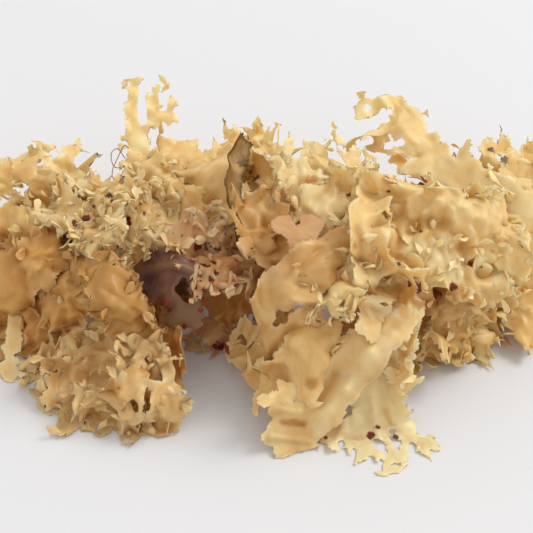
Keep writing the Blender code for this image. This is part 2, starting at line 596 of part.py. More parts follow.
def in_one_piece(triangles):
    """The largest group of triangles that hang together by their edges."""
    beside = {}
    for index, (a, b, c) in enumerate(triangles):
        for edge in ((a, b), (b, c), (c, a)):
            beside.setdefault(frozenset(edge), []).append(index)
    left = set(range(len(triangles)))
    largest = []
    while left:
        group = [left.pop()]
        for index in group:
            a, b, c = triangles[index]
            for edge in ((a, b), (b, c), (c, a)):
                for near in beside[frozenset(edge)]:
                    if near in left:
                        left.remove(near)
                        group.append(near)
        largest = max(largest, group, key=len)
    return [triangles[index] for index in sorted(largest)]


def parted_at_pinches(corners, triangles):
    """Where two parts of a blade meet only in a point, each gets its own corner."""
    corners = list(corners)
    around = {}
    for index, triangle in enumerate(triangles):
        for corner in triangle:
            around.setdefault(corner, []).append(index)
    for corner, fan in around.items():
        groups = joined_fans(corner, fan, triangles)
        for group in groups[1:]:
            middle = np.mean([corners[c] for index in group for c in triangles[index]], axis=0)
            corners.append(corners[corner] + 0.35 * (middle - corners[corner]))
            for index in group:
                triangles[index][triangles[index].index(corner)] = len(corners) - 1
    used = sorted({corner for triangle in triangles for corner in triangle})
    number = {corner: place for place, corner in enumerate(used)}
    return (np.array([corners[corner] for corner in used]),
            [[number[corner] for corner in triangle] for triangle in triangles])


def joined_fans(corner, fan, triangles):
    """The triangles round a corner, in groups that share edges."""
    groups = []
    for index in fan:
        rest = set(triangles[index]) - {corner}
        touching = [group for group in groups if group[0] & rest]
        merged = (set().union(rest, *(group[0] for group in touching)),
                  sum((group[1] for group in touching), [index]))
        groups = [group for group in groups if group not in touching] + [merged]
    return [group[1] for group in groups]


def mesh_object(name, points, faces):
    """An object with these points, given in mm from the origin."""
    mesh = bpy.data.meshes.new(name)
    mesh.from_pydata([tuple(p) for p in np.asarray(points) * MM], [], faces)
    item = bpy.data.objects.new(name, mesh)
    bpy.context.collection.objects.link(item)
    return item


def as_built(item):
    """The object's mesh with its modifiers, as points in mm and faces."""
    bpy.context.view_layer.update()
    shown = item.evaluated_get(bpy.context.evaluated_depsgraph_get())
    mesh = shown.to_mesh()
    points = np.array([tuple(v.co) for v in mesh.vertices]) / MM
    faces = [list(face.vertices) for face in mesh.polygons]
    shown.to_mesh_clear()
    return points, faces


def is_clear(item, neighbours):
    """Whether the solid keeps its gap to every frond made before it."""
    points, faces = as_built(item)
    middles = np.array([points[face].mean(axis=0) for face in faces])
    near = min(neighbours.distance(points).min(), neighbours.distance(middles).min())
    return near >= GAP and not neighbours.crossed_by(points, faces)


def blade(frond, sheet, plan, neighbours):
    """The frond's solid, cut back further until it is clear of its neighbours."""
    for attempt in range(TRIES):
        clearance = FIRST_CLEARANCE + attempt * CLEARANCE_STEP
        s, t, field = free_outline(plan, sheet, neighbours, clearance)
        flat, triangles = facets(s, t, field)
        depth = np.maximum(-plan.distance(flat[:, 0], flat[:, 1]), 0)
        item = mesh_object(frond.name, sheet.place(flat[:, 0], flat[:, 1], depth), triangles)
        thick = item.modifiers.new("thickness", "SOLIDIFY")
        thick.thickness = BLADE_THICKNESS * MM
        thick.offset = 0
        if is_clear(item, neighbours):
            break
        if attempt < TRIES - 1:
            bpy.data.objects.remove(item)
    return item


def leaflet_points(root, out, across, normal):
    """A small spade-shaped plate that stands on the blade, its root sunk in."""
    edge = [root + out * along_it + across * (side * wide) for side in (-1, 1)
            for along_it, wide in LEAFLET_OUTLINE[::side]]
    half = normal * (LEAFLET_THICKNESS / 2)
    return [p - half for p in edge] + [p + half for p in edge]


def leaflet_faces():
    count = 2 * len(LEAFLET_OUTLINE)
    sides = [[k, (k + 1) % count, count + (k + 1) % count, count + k] for k in range(count)]
    return [list(range(count))[::-1], list(range(count, 2 * count)), *sides]


def stand_leaflets(item, frond, neighbours, rng):
    """Small leaflets that stand out of the blade, in a collection of their own."""
    group = bpy.data.collections.new(frond.name + "_leaflets")
    roots = list(item.data.vertices)
    for number in range(frond.leaflets):
        for _ in range(TRIES):
            vertex = roots[rng.integers(len(roots))]
            root = np.array(vertex.co) / MM
            out = unit(np.array(vertex.normal) * rng.uniform(0.6, 1.2) + rng.uniform(-1, 1, 3))
            across = unit(np.cross(out, rng.normal(size=3)))
            points = leaflet_points(root, out, across, np.cross(out, across))
            low = min(p[2] for p in points)
            if low > GAP and neighbours.distance(points).min() > 2 * GAP:
                leaf = mesh_object(f"{frond.name}_leaflet_{number}", points, leaflet_faces())
                bpy.context.collection.objects.unlink(leaf)
                group.objects.link(leaf)
                break
    return group


def add_leaflets(item, frond, neighbours):
    """Fuse leaflets to the blade. A set that doesn't join cleanly is drawn again."""
    rng = np.random.default_rng(frond.seed + 5)
    for _ in range(TRIES):
        group = stand_leaflets(item, frond, neighbours, rng)
        union = item.modifiers.new("leaflets", "BOOLEAN")
        union.operation = "UNION"
        union.operand_type = "COLLECTION"
        union.collection = group
        bpy.context.view_layer.update()
        shown = item.evaluated_get(bpy.context.evaluated_depsgraph_get())
        fused = bpy.data.meshes.new_from_object(shown)
        item.modifiers.remove(union)
        for leaf in list(group.objects):
            bpy.data.objects.remove(leaf)
        bpy.data.collections.remove(group)
        if is_sound(fused):
            item.modifiers.clear()
            item.data = fused
            return


def is_sound(mesh):
    """Whether the mesh is one closed body, once its loose scraps are dropped."""
    shape = bmesh.new()
    shape.from_mesh(mesh)
    drop_scraps(shape)
    shape.to_mesh(mesh)
    sound = all(len(edge.link_faces) == 2 for edge in shape.edges)
    shortest = min(edge.calc_length() for edge in shape.edges)
    shape.free()
    return sound and shortest > SHORTEST_EDGE * MM


def drop_scraps(shape):
    """Delete all but the largest of the bodies in a bmesh."""
    left = set(shape.verts)
    bodies = []
    while left:
        body = [left.pop()]
        for vertex in body:
            for edge in vertex.link_edges:
                near = edge.other_vert(vertex)
                if near in left:
                    left.remove(near)
                    body.append(near)
        bodies.append(body)
    bodies.sort(key=len)
    for scrap in bodies[:-1]:
        bmesh.ops.delete(shape, geom=scrap)


def frond_material(frond):
    material = bpy.data.materials.new(frond.name)
    material.use_nodes = True
    surface = material.node_tree.nodes["Principled BSDF"]
    surface.inputs["Base Color"].default_value = (*COLOURS[frond.colour], 1)
    surface.inputs["Roughness"].default_value = ROUGHNESS
    surface.inputs["Metallic"].default_value = 0.0
    return material


def build():
    for item in list(bpy.data.objects):
        bpy.data.objects.remove(item)
    neighbours = Neighbours()
    for frond in FRONDS:
        sheet = Sheet(frond)
        plan = Plan(frond, sheet.length)
        item = blade(frond, sheet, plan, neighbours)
        if frond.leaflets:
            add_leaflets(item, frond, neighbours)
        neighbours.add(*as_built(item))
        item.data.materials.append(frond_material(frond))


build()
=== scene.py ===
"""Dried Irish moss, dressed for its picture.

Every frond of the solid model is replaced by a finer one: the same outline on the same
bent sheet, with toothed and frilled margins, small leaflets and a thin, waxy,
light-passing blade. Sizes are in mm until a mesh is made.
"""

import math
from dataclasses import dataclass

import bpy
import numpy as np
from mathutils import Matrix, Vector
from mathutils.bvhtree import BVHTree


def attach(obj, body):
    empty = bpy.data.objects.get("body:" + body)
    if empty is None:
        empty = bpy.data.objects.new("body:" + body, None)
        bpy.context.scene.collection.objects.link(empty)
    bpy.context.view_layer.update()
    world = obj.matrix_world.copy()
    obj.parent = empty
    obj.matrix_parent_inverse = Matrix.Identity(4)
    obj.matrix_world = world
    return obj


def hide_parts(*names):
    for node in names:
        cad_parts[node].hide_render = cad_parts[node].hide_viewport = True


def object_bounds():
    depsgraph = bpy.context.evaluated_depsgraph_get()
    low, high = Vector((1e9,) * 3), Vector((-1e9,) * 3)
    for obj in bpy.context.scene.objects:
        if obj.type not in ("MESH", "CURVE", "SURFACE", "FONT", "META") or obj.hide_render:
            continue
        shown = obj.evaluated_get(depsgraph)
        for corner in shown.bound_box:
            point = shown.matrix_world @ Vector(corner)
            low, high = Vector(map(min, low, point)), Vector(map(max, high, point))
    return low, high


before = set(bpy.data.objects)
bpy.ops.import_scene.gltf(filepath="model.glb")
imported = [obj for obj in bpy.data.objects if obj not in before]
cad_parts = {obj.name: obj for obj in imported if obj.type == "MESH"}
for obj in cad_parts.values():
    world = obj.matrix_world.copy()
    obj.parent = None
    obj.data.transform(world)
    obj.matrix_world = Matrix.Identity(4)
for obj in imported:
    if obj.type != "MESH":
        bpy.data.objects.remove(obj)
SOLID_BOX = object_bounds()
MM = 0.001

# The viewing frame that the sizes were read in. A point is given by how far across
# and up the picture it is seen, and by its height above the table, all in mm.
VIEW_ELEVATION = math.radians(45)
VIEW_DISTANCE = 480.0
TARGET_HEIGHT = 16.0
TO_VIEWER = np.array([0.0, -math.cos(VIEW_ELEVATION), math.sin(VIEW_ELEVATION)])
PICTURE_UP = np.array([0.0, math.sin(VIEW_ELEVATION), math.cos(VIEW_ELEVATION)])
TARGET = np.array([0.0, 0.0, TARGET_HEIGHT])
EYE = TARGET + VIEW_DISTANCE * TO_VIEWER

# Where the middle of the heap's footprint lies in that frame. It becomes the origin.
HEAP_CENTRE = np.array([1.45, 6.7, 0.0])

# The sheet of a blade, in mm: how high its middle rests, how softly it bends on the table,
# how far its ruffles reach in from the margin, and how long its waves and ruffles are. A
# wave moves it sideways too, by a share, and a share of its length at the root stays
# still. A cup never turns further than FURTHEST_TURN, in radians.
REST_HALF_THICKNESS = 0.35
TABLE_BEND = 1.5
SPINE_SAMPLES = 200
RUFFLE_REACH = 5.0
WAVE_LENGTH = 17.0
RUFFLE_LENGTH = 8.0
SIDEWAYS_SHARE = 0.45
STILL_SHARE = 0.4
FURTHEST_TURN = 3.0

# The outline of a blade, in mm. A hole is wider along the blade than across it.
LOBE_LENGTH = 2.6
LOBE_HALF_WIDTH = 0.95
LOBE_BLEND = 0.9
OUTLINE_WOBBLE = 0.45
WOBBLE_LENGTH = 7.0
HOLE_SQUEEZE = 1.25


@dataclass
class Frond:
    """One frond of the moss. Lengths are in mm, angles in degrees, curls in 1/mm.

    The path holds points of across, up and height. An arm is a side strap: the share of
    the length where it leaves, its angle, reach, width and forks. A hole is a place along
    and across the blade, and a radius.
    """

    name: str
    colour: str
    path: tuple
    width: float
    seed: int
    root: float = 3.0
    forks: int = 1
    spread: float = 28.0
    stem: float = 0.5
    taper: float = 0.78
    roll: tuple = (0.0,)
    cup: tuple = (0.0,)
    wave: float = 1.2
    ruffle: float = 1.0
    lobes: float = 1.0
    arms: tuple = ()
    holes: tuple = ()
    leaflets: int = 0
    in_view: bool = True


def seen(across, up, height):
    """The point at this height that is seen at (across, up) in the picture."""
    in_plane = TARGET + np.array([across, 0.0, 0.0]) + up * PICTURE_UP
    reach = (EYE[2] - height) / (EYE[2] - in_plane[2])
    return EYE + reach * (in_plane - EYE)


def rippling(seed, wavelength, waves=7):
    """A smooth random field over the flat blade, three components of about -1 to 1."""
    rng = np.random.default_rng(seed)
    angle = rng.uniform(0, 2 * math.pi, (3, waves))
    number = 2 * math.pi / (wavelength * rng.uniform(0.75, 1.6, (3, waves)))
    phase = rng.uniform(0, 2 * math.pi, (3, waves))

    def field(s, t):
        s, t = s[..., None, None], t[..., None, None]
        turn = number * (s * np.cos(angle) + t * np.sin(angle)) + phase
        return np.sin(turn).sum(-1) * 1.3 / math.sqrt(waves)

    return field


def unit(vectors):
    return vectors / np.linalg.norm(vectors, axis=-1, keepdims=True)


def along(values, share):
    """Values given evenly from root to tip, read at a share of the length."""
    values = np.atleast_1d(np.asarray(values, float))
    return np.interp(share, np.linspace(0, 1, len(values)), values)


class Sheet:
    """The bent surface that a frond's flat outline is laid on: s runs up the blade
    from its root, t across it, and t is positive on the left as the viewer sees it."""

    def __init__(self, frond):
        points = [seen(*p) if frond.in_view else np.array(p, float) for p in frond.path]
        spine = smooth_curve(points)
        steps = np.linalg.norm(np.diff(spine, axis=0), axis=1)
        self.at = np.concatenate([[0.0], np.cumsum(steps)])
        self.length = self.at[-1]
        self.spine = spine
        tangent = unit(np.gradient(spine, self.at, axis=0))
        facing = unit(TO_VIEWER - (tangent @ TO_VIEWER)[:, None] * tangent)
        left = np.cross(facing, tangent)
        roll = np.radians(along(frond.roll, self.at / self.length))[:, None]
        self.tangent = tangent
        self.left = left * np.cos(roll) + facing * np.sin(roll)
        self.normal = facing * np.cos(roll) - left * np.sin(roll)
        self.cup = along(frond.cup, self.at / self.length)
        self.frond = frond
        self.waving = rippling(frond.seed + 1, WAVE_LENGTH)
        self.ruffling = rippling(frond.seed + 2, RUFFLE_LENGTH)

    def frame_at(self, s):
        pick = [np.interp(s, self.at, track[:, i]) for track in
                (self.spine, self.tangent, self.left, self.normal) for i in range(3)]
        return [np.stack(pick[i:i + 3], -1) for i in (0, 3, 6, 9)]

    def place(self, s, t, depth):
        """Points of the sheet. depth is how far each lies inside the blade's margin."""
        frond = self.frond
        inside = np.clip(s, 0, self.length)
        spine, tangent, left, normal = self.frame_at(inside)
        spine = spine + (s - inside)[..., None] * tangent
        cup = np.interp(inside, self.at, self.cup)
        cup = np.where(np.abs(cup) < 1e-4, 1e-4, cup)
        turn = np.clip(cup * t, -FURTHEST_TURN, FURTHEST_TURN)
        point = (spine + (np.sin(turn) / cup)[..., None] * left
                 + ((1 - np.cos(turn)) / cup)[..., None] * normal)
        free = np.clip(s / (STILL_SHARE * self.length), 0, 1)
        low = self.waving(s, t) * (frond.wave * free)[..., None]
        edge = np.clip(1 - depth / RUFFLE_REACH, 0, 1) ** 1.5
        high = self.ruffling(s, t) * (frond.ruffle * free * edge)[..., None]
        shift = low + high
        point = (point + shift[..., 0:1] * normal + SIDEWAYS_SHARE * shift[..., 1:2] * left
                 + SIDEWAYS_SHARE * shift[..., 2:3] * tangent)
        return on_table(point, tangent) - HEAP_CENTRE


def on_table(point, tangent):
    """Where a blade comes down on the table it bends and runs on along it."""
    over = point[..., 2] - REST_HALF_THICKNESS
    bent = np.where(over > TABLE_BEND, over,
                    np.where(over < -TABLE_BEND, 0.0, (over + TABLE_BEND) ** 2 / (4 * TABLE_BEND)))
    level = np.hypot(tangent[..., 0], tangent[..., 1])
    onward = (bent - over) * np.maximum(-tangent[..., 2], 0) / (1 + level) / np.maximum(level, 0.05)
    laid = point.copy()
    laid[..., 0] += onward * tangent[..., 0]
    laid[..., 1] += onward * tangent[..., 1]
    laid[..., 2] = REST_HALF_THICKNESS + bent
    return laid


def smooth_curve(points):
    """A Catmull-Rom curve through the points."""
    points = np.array([2 * points[0] - points[1], *points, 2 * points[-1] - points[-2]])
    pieces = len(points) - 3
    place = np.linspace(0, pieces, SPINE_SAMPLES)
    piece = np.minimum(place.astype(int), pieces - 1)
    x = (place - piece)[:, None]
    a, b, c, d = (points[piece + i] for i in range(4))
    return 0.5 * (2 * b + (c - a) * x + (2 * a - 5 * b + 4 * c - d) * x ** 2
                  + (3 * b - a - 3 * c + d) * x ** 3)


def fork_tree(segments, rng, start, heading, length, half, forks, frond, stem, first):
    """A strap that divides in two again and again, as tapered round-ended segments."""
    step = length if forks == 0 else length * stem
    end = start + step * np.array([math.cos(heading), math.sin(heading)])
    wide = half if forks else half * 0.8
    segments.append((*start, *end, first, wide))
    for side in (-1, 1) if forks else ():
        turn = side * math.radians(frond.spread) * rng.uniform(0.7, 1.3)
        fork_tree(segments, rng, end, heading + turn, (length - step) * rng.uniform(0.85, 1.2),
                  half * frond.taper * rng.uniform(0.85, 1.1), forks - 1, frond,
                  1.2 / (forks + 0.4), half * frond.taper * 0.9)


def lobes_on(segments, rng, per_cm, length, half):
    """Short lobes that stand out from both margins of each segment."""
    made = []
    for x0, y0, x1, y1, r0, r1 in segments:
        run = math.hypot(x1 - x0, y1 - y0)
        heading = math.atan2(y1 - y0, x1 - x0)
        for side in (-1, 1):
            for _ in range(rng.poisson(per_cm * run / 10)):
                share = rng.uniform(0.15, 1.05)
                out = heading + side * math.radians(rng.uniform(35, 85))
                wide = half * rng.uniform(0.8, 1.3)
                reach = r0 + (r1 - r0) * share + length * rng.uniform(0.3, 1.2)
                x, y = x0 + (x1 - x0) * share, y0 + (y1 - y0) * share
                made.append((x, y, x + reach * math.cos(out), y + reach * math.sin(out),
                             wide, wide * 0.8))
    return made


class Plan:
    """The flat outline of a frond, as a signed distance: negative inside the blade."""

    def __init__(self, frond, length):
        rng = np.random.default_rng(frond.seed)
        straps = []
        fork_tree(straps, rng, np.zeros(2), 0.0, length, frond.width / 2, frond.forks, frond,
                  frond.stem, frond.root / 2)
        for share, angle, reach, width, forks in frond.arms:
            fork_tree(straps, rng, np.array([share * length, 0.0]), math.radians(angle), reach,
                      width / 2, forks, frond, 0.55, width / 2)
        self.straps = straps
        self.lobes = lobes_on(straps, rng, frond.lobes, LOBE_LENGTH, LOBE_HALF_WIDTH)
        self.holes = frond.holes
        self.blend = 0.04 * frond.width + 0.5
        self.wobble = rippling(frond.seed + 3, WOBBLE_LENGTH)

    def distance(self, s, t):
        straps = blended([capsule(s, t, seg) for seg in self.straps], self.blend)
        lobes = [capsule(s, t, seg) for seg in self.lobes]
        solid = blended([straps, *lobes], LOBE_BLEND)
        solid = solid + OUTLINE_WOBBLE * self.wobble(s, t)[..., 0] - 0.1
        for s0, t0, radius in self.holes:
            hole = radius - np.hypot(s - s0, (t - t0) * HOLE_SQUEEZE)
            solid = np.maximum(solid, hole + 0.3 * self.wobble(s, t)[..., 1])
        return solid

    def box(self):
        ends = np.array([[s[0], s[1]] for s in self.straps + self.lobes]
                        + [[s[2], s[3]] for s in self.straps + self.lobes])
        room = max(max(s[4:]) for s in self.straps) + 1.5
        return ends.min(0) - room, ends.max(0) + room


def capsule(s, t, segment):
    """Distance to a round-ended segment whose half width changes along it."""
    x0, y0, x1, y1, r0, r1 = segment
    dx, dy = x1 - x0, y1 - y0
    share = np.clip(((s - x0) * dx + (t - y0) * dy) / (dx * dx + dy * dy + 1e-9), 0, 1)
    return np.hypot(s - x0 - share * dx, t - y0 - share * dy) - (r0 + (r1 - r0) * share)


def blended(distances, reach):
    """A smooth union, which rounds the angle where two straps part."""
    whole = distances[0]
    for other in distances[1:]:
        mix = np.clip(0.5 + 0.5 * (other - whole) / reach, 0, 1)
        whole = other * (1 - mix) + whole * mix - reach * mix * (1 - mix)
    return whole


FRONDS = (
    # The centre front: broad pale blades that hang down to the table.
    Frond("heart_leaf", "rose", ((9.5, 10, 35), (8.8, 14.5, 39), (8, 20.5, 41)), 6.5, 129,
          spread=36, lobes=0, ruffle=0.2, wave=0.3),
    Frond("front_leaf", "blond", ((20, 15, 37), (12, 9, 37), (5, 0, 31), (2, -9, 22),
          (4, -17, 14)), 16, 101, root=7, spread=26, stem=0.6, cup=(-0.02, -0.06), roll=(0, 10),
          arms=((0.42, 62, 12, 7, 1), (0.6, 50, 10, 6, 0)), lobes=0.4),
    Frond("front_strap", "blond", ((33, -2, 27), (27, -10, 24), (19, -20, 15), (12.3, -28.5, 8),
          (4.6, -35, 3)), 11, 102, root=12, spread=22, stem=0.82, cup=(-0.07, -0.05, 0.02),
          roll=(10, -20), arms=((0.6, -50, 13, 6, 0), (0.78, -55, 11, 5, 1)), lobes=0.3, wave=0.7,
          ruffle=0.7),
    Frond("front_fan", "blond", ((33, -8, 19), (30, -18, 11), (28, -28, 4), (26.8, -42, -7)), 12,
          103, root=10, forks=2, spread=34, stem=0.52, cup=(-0.03, 0.03), lobes=0.6,
          holes=((28, 4, 2), (34, 5, 1.6)), wave=0.8, ruffle=0.8),
    Frond("side_strap", "blond", ((34.5, -4, 24), (35.5, -12, 18), (33, -20.5, 12)), 4, 151,
          root=4, forks=0, cup=(0.25,), roll=(25, 40), lobes=0.8, wave=0.5, ruffle=0.8),
    Frond("centre_column", "blond", ((26.5, 27, 40), (25, 19.5, 42), (26.5, 11, 38), (30, 2.5, 31),
          (33, -4, 27)), 9, 104, root=7, forks=2, spread=34, stem=0.6, cup=(0.16, 0.2, 0.05),
          lobes=1.6, ruffle=2.2, holes=((35, -1, 1.3),)),
    Frond("inner_fold", "blond", ((33.5, 21, 37), (32.5, 12.5, 37), (32.5, 4, 31), (36, -2, 26)),
          11, 105, root=6, spread=30, stem=0.6, cup=(0.1, 0.08), roll=(-30, -10), ruffle=1.5),
    Frond("centre_bunch", "blond", ((27, 12, 33), (22, 5, 34), (20, -2, 30), (21, -8, 25)), 9, 106,
          root=5, forks=3, spread=40, stem=0.3, lobes=2, ruffle=2.4, wave=1.6),
    Frond("front_leaf_low", "tan", ((14, -4, 27), (11, -11, 23), (8, -19, 16), (3, -25, 9)), 14,
          107, root=8, spread=30, stem=0.6, cup=(-0.05,), ruffle=1.2),
    Frond("left_hook", "tan", ((6, -25, 8), (1, -17, 12), (-3.5, -12, 12.5), (-7, -9.5, 11)), 6.5,
          108, root=4, spread=25, stem=0.7, lobes=0.6, holes=((19, 0, 1.7),)),
    Frond("long_arch", "olive", ((13, 28.5, 33), (20, 27, 38), (31, 22, 41), (41, 16, 39),
          (49, 10.5, 34), (55, 6, 27)), 22, 109, root=4, forks=2, spread=22, stem=0.6,
          cup=(-0.02, -0.04), lobes=2, ruffle=2.8, wave=1.4),
    Frond("right_cluster", "tan", ((36.5, 2.5, 22), (43.5, -1, 20), (50.5, -4, 13),
          (56.5, -7.5, 5)), 10, 110, root=4, forks=3, spread=30, stem=0.34, lobes=2, ruffle=2.2,
          wave=1.6),
    Frond("right_cluster_low", "tan", ((37, 0, 16), (43.5, -8, 11), (51, -14, -2)), 11, 111,
          root=4, forks=2, spread=34, stem=0.45, lobes=2, ruffle=2, roll=(20, 30)),
    Frond("thin_strap", "tan", ((30.5, -3, 18), (35.5, -6.5, 13), (40.5, -12, 6)), 3.4, 112,
          forks=0, lobes=0, ruffle=0.2, wave=0.3),
    # The far right: a long forked frond that reaches back over the table.
    Frond("back_right_frond", "blond", ((70, 17, 24), (60, 24, 30), (48, 31, 35), (39, 39, 37),
          (35, 46, 37), (30.5, 49.3, 36), (24.5, 47.8, 35)), 4.2, 113, root=13, forks=0, lobes=0.3,
          wave=0.8, ruffle=0.7, arms=((0.78, 50, 15, 5, 0), (0.7, 62, 17, 6, 1),
          (0.5, 66, 8, 6, 0), (0.35, -30, 9, 4, 1)), holes=((58, 4.5, 1.3),)),
    Frond("back_right_blade", "tan", ((73, 9.5, 18), (61, 15, 22), (48.5, 21, 25), (41, 27.5, 23),
          (36, 35, 19)), 16, 114, root=12, spread=30, stem=0.8, cup=(-0.03,), lobes=0.4,
          ruffle=1.2),
    Frond("right_end", "tan", ((58, 21, 22), (63.5, 13, 21), (69, 4, 14), (73, -1.5, 5)), 19, 115,
          root=8, forks=2, lobes=1.4, ruffle=2, cup=(0.03,)),
    Frond("right_end_low", "amber", ((58.5, 15, 14), (63.5, 7.5, 12), (62, -2.5, 3)), 14, 116,
          root=6, spread=30, stem=0.6, lobes=0.8, ruffle=1.6),
    Frond("right_back_lobes", "olive", ((50, 26, 26), (56, 31, 28), (58.5, 38, 31)), 4, 117,
          root=4, spread=30, stem=0.7, arms=((0.5, -55, 14, 6, 1), (0.2, 50, 8, 4, 1)), lobes=1.2),
    Frond("right_back_blade", "olive", ((56, 24, 25), (64, 28.5, 27), (73, 32.5, 26)), 10, 118,
          root=6, forks=2, lobes=1.2, ruffle=1.4),
    # The middle of the back: smooth brown blades with ragged tips against the light.
    Frond("dark_strap", "umber", ((-5, 13.5, 27), (-7.5, 24, 34), (-8.5, 31, 38), (-6, 38, 40)),
          6.5, 119, root=5, forks=0, cup=(0.2, 0.28), roll=(35, 25), lobes=0, wave=0.3, ruffle=0.5),
    Frond("curled_cup", "blond", ((6, 12, 30), (0, 15, 35), (-1.5, 25, 37)), 14, 128, root=6,
          spread=24, stem=0.7, cup=(0.06, 0.12), ruffle=1.8, lobes=0.8),
    Frond("upper_blade", "blond", ((11, 16, 32), (14, 23, 37), (20, 27.5, 40)), 10, 130, root=5,
          stem=0.6, cup=(0.05,), ruffle=1.5),
    Frond("pale_blade", "blond", ((9, 17, 33), (9.5, 25, 37), (10, 31.5, 40)), 10, 127, root=6,
          spread=26, stem=0.7, lobes=1.2),
    Frond("crest_spikes", "blond", ((14, 23, 30), (13, 31, 36), (13, 40, 41)), 4, 125, root=4,
          forks=3, spread=24, stem=0.4, lobes=1.6, ruffle=0.9),
    Frond("small_antler", "blond", ((20, 25, 31), (21, 31, 34), (23.5, 36, 36)), 2.3, 126, forks=2,
          spread=30, ruffle=0.5),
    Frond("back_spikes", "blond", ((5, 26, 28), (3.5, 34, 33), (1.5, 41, 36)), 2.6, 124, forks=2,
          spread=26, stem=0.55, ruffle=0.7),
    Frond("back_curl", "blond", ((0, 27, 25), (-3, 35.5, 30), (-7.5, 42.5, 32)), 10, 123, root=4,
          spread=34, stem=0.6, ruffle=1.6),
    Frond("mid_back_blade", "tan", ((-8, 15, 23), (-10.5, 23, 28), (-13.5, 31.5, 31),
          (-15.5, 41, 31)), 15, 120, root=6, spread=30, stem=0.55, lobes=0.6),
    Frond("back_ridge", "blond", ((-2, 29, 24), (-9, 33, 28), (-17, 35, 31), (-27, 35, 30)), 10,
          122, root=5, spread=30, stem=0.6, ruffle=1.8, lobes=1.6, holes=((14, -2, 1.3),)),
    Frond("mid_left_blade", "tan", ((-7, 14, 24), (-16.5, 20, 28), (-25, 24, 29), (-33, 27, 26)),
          13, 121, root=5, spread=26, stem=0.6, lobes=0.8),
    # The left: an upright spire, a strap on the far side, and a crest of leaflets.
    Frond("spire", "blond", ((-33.5, 26, 25), (-33.2, 37.5, 31), (-33, 46, 36), (-32.7, 54.5, 41)),
          2.6, 131, root=4.5, forks=0, arms=((0.5, -32, 12.5, 3, 0), (0.52, -60, 11.5, 2.6, 0)),
          lobes=0.4, wave=0.4, ruffle=0.3),
    Frond("left_top_blade", "blond", ((-73, 27, 15), (-64, 31, 20), (-57, 32, 22),
          (-49.5, 31.5, 21)), 9, 132, root=9, spread=22, stem=0.7, holes=((17, 2, 1.8),
          (25, -3, 1.6))),
    Frond("left_crest", "blond", ((-39, 9, 26), (-41.5, 16, 32), (-44, 22.5, 34), (-45, 27.5, 31)),
          11, 236, root=5, forks=2, spread=30, stem=0.45, lobes=1.5, ruffle=1.6, leaflets=9),
    Frond("left_crest_right", "blond", ((-37, 11, 25), (-31.5, 17.5, 30), (-24, 22, 29)), 12, 137,
          root=5, forks=2, spread=30, lobes=1.5, ruffle=1.6, leaflets=9),
    Frond("left_shoulder", "tan", ((-43, 14, 24), (-51.5, 20, 28), (-59, 19, 22)), 11, 238, root=5,
          forks=2, spread=30, lobes=1.5, ruffle=1.5, leaflets=9),
    Frond("toothed_blade", "tan", ((-46, 11, 28), (-40, 4, 29), (-35, -4, 23), (-34, -9, 17)), 10,
          141, root=8, forks=0, lobes=2.6, cup=(-0.06,), ruffle=1.2),
    Frond("plum_blade", "plum", ((-33, 7, 22), (-26, 6, 26), (-19.5, 2.5, 24), (-15, -6, 17)), 16,
          139, root=10, spread=20, stem=0.8, cup=(-0.05,), lobes=0.2, wave=0.6, ruffle=0.7,
          holes=((15.5, 0.5, 1.7),)),
    Frond("garnet_ruffle", "garnet", ((-19, 2, 24), (-15, 9, 28), (-12, 15.5, 28)), 7, 140, root=4,
          forks=2, spread=36, stem=0.35, lobes=2.4, ruffle=2, leaflets=7),
    Frond("left_mid_blade", "amber", ((-45, 15, 24), (-54, 11, 26), (-63, 6, 20), (-71, 2, 11)),
          16, 133, root=8, stem=0.65, cup=(-0.05,), lobes=0.5),
    Frond("left_side_blade", "tan", ((-45, 13, 22), (-58, 16, 25), (-69, 14, 19)), 13, 134, root=6,
          stem=0.6, cup=(-0.04,), lobes=0.7),
    Frond("left_front_blade", "amber", ((-42, 7, 22), (-51.5, 2, 18), (-59, -3, 11), (-65, -9, 3)),
          14, 135, root=8, spread=30, cup=(-0.04,), arms=((0.35, 55, 12, 6, 1),)),
    Frond("left_fan", "blond", ((-33, -5, 16), (-35, -12.5, 12), (-39.5, -21, 6),
          (-44.5, -32, -4)), 13, 142, root=6, forks=3, spread=32, stem=0.35, lobes=1.6, ruffle=1.8),
    Frond("left_fan_right", "blond", ((-31, -6, 18), (-30, -15, 15), (-30.5, -23.5, 10),
          (-32, -32, 1)), 9, 143, root=6, forks=3, spread=26, stem=0.4, lobes=1.6, ruffle=1.6),
    Frond("left_fan_left", "blond", ((-39, -6, 10), (-47, -15, 5), (-53, -27, -5)), 10, 144,
          root=4, forks=2, spread=30, lobes=1.4, ruffle=1.2),
    Frond("brown_curve", "amber", ((-25, -5, 14), (-22.5, -12.5, 11), (-24.5, -21, 4)), 8, 145,
          root=5, spread=26, stem=0.7, roll=(40, 20), cup=(0.08,)),
    Frond("left_low", "tan", ((-50, 2, 12), (-60, -4, 8), (-69, -8, -1)), 11, 146, root=5, forks=2,
          spread=30, lobes=1.6, ruffle=1.6),
    Frond("left_hanging_strap", "blond", ((-62, -3, 9), (-64, -12, 4), (-64, -19, 0)), 4.2, 147,
          forks=0, lobes=0.2, ruffle=0.2, wave=0.3),
    Frond("garnet_lobe", "garnet", ((-3, -8, 9), (-9, -10, 5), (-15, -10.5, 1)), 7, 148, root=4,
          spread=26, stem=0.6, lobes=1.4),
    # What the heap holds inside and what it stands on.
    Frond("inner_left", "amber", ((-2, 2, 14), (-13, 3, 17), (-24, 5, 18), (-36, 3, 14)), 18, 149,
          root=8, stem=0.6, lobes=0.8, ruffle=1.4),
    Frond("inner_right", "amber", ((6, 4, 16), (20, 8, 19), (34, 10, 20), (48, 12, 16)), 20, 150,
          root=8, stem=0.6, lobes=0.8, ruffle=1.4),
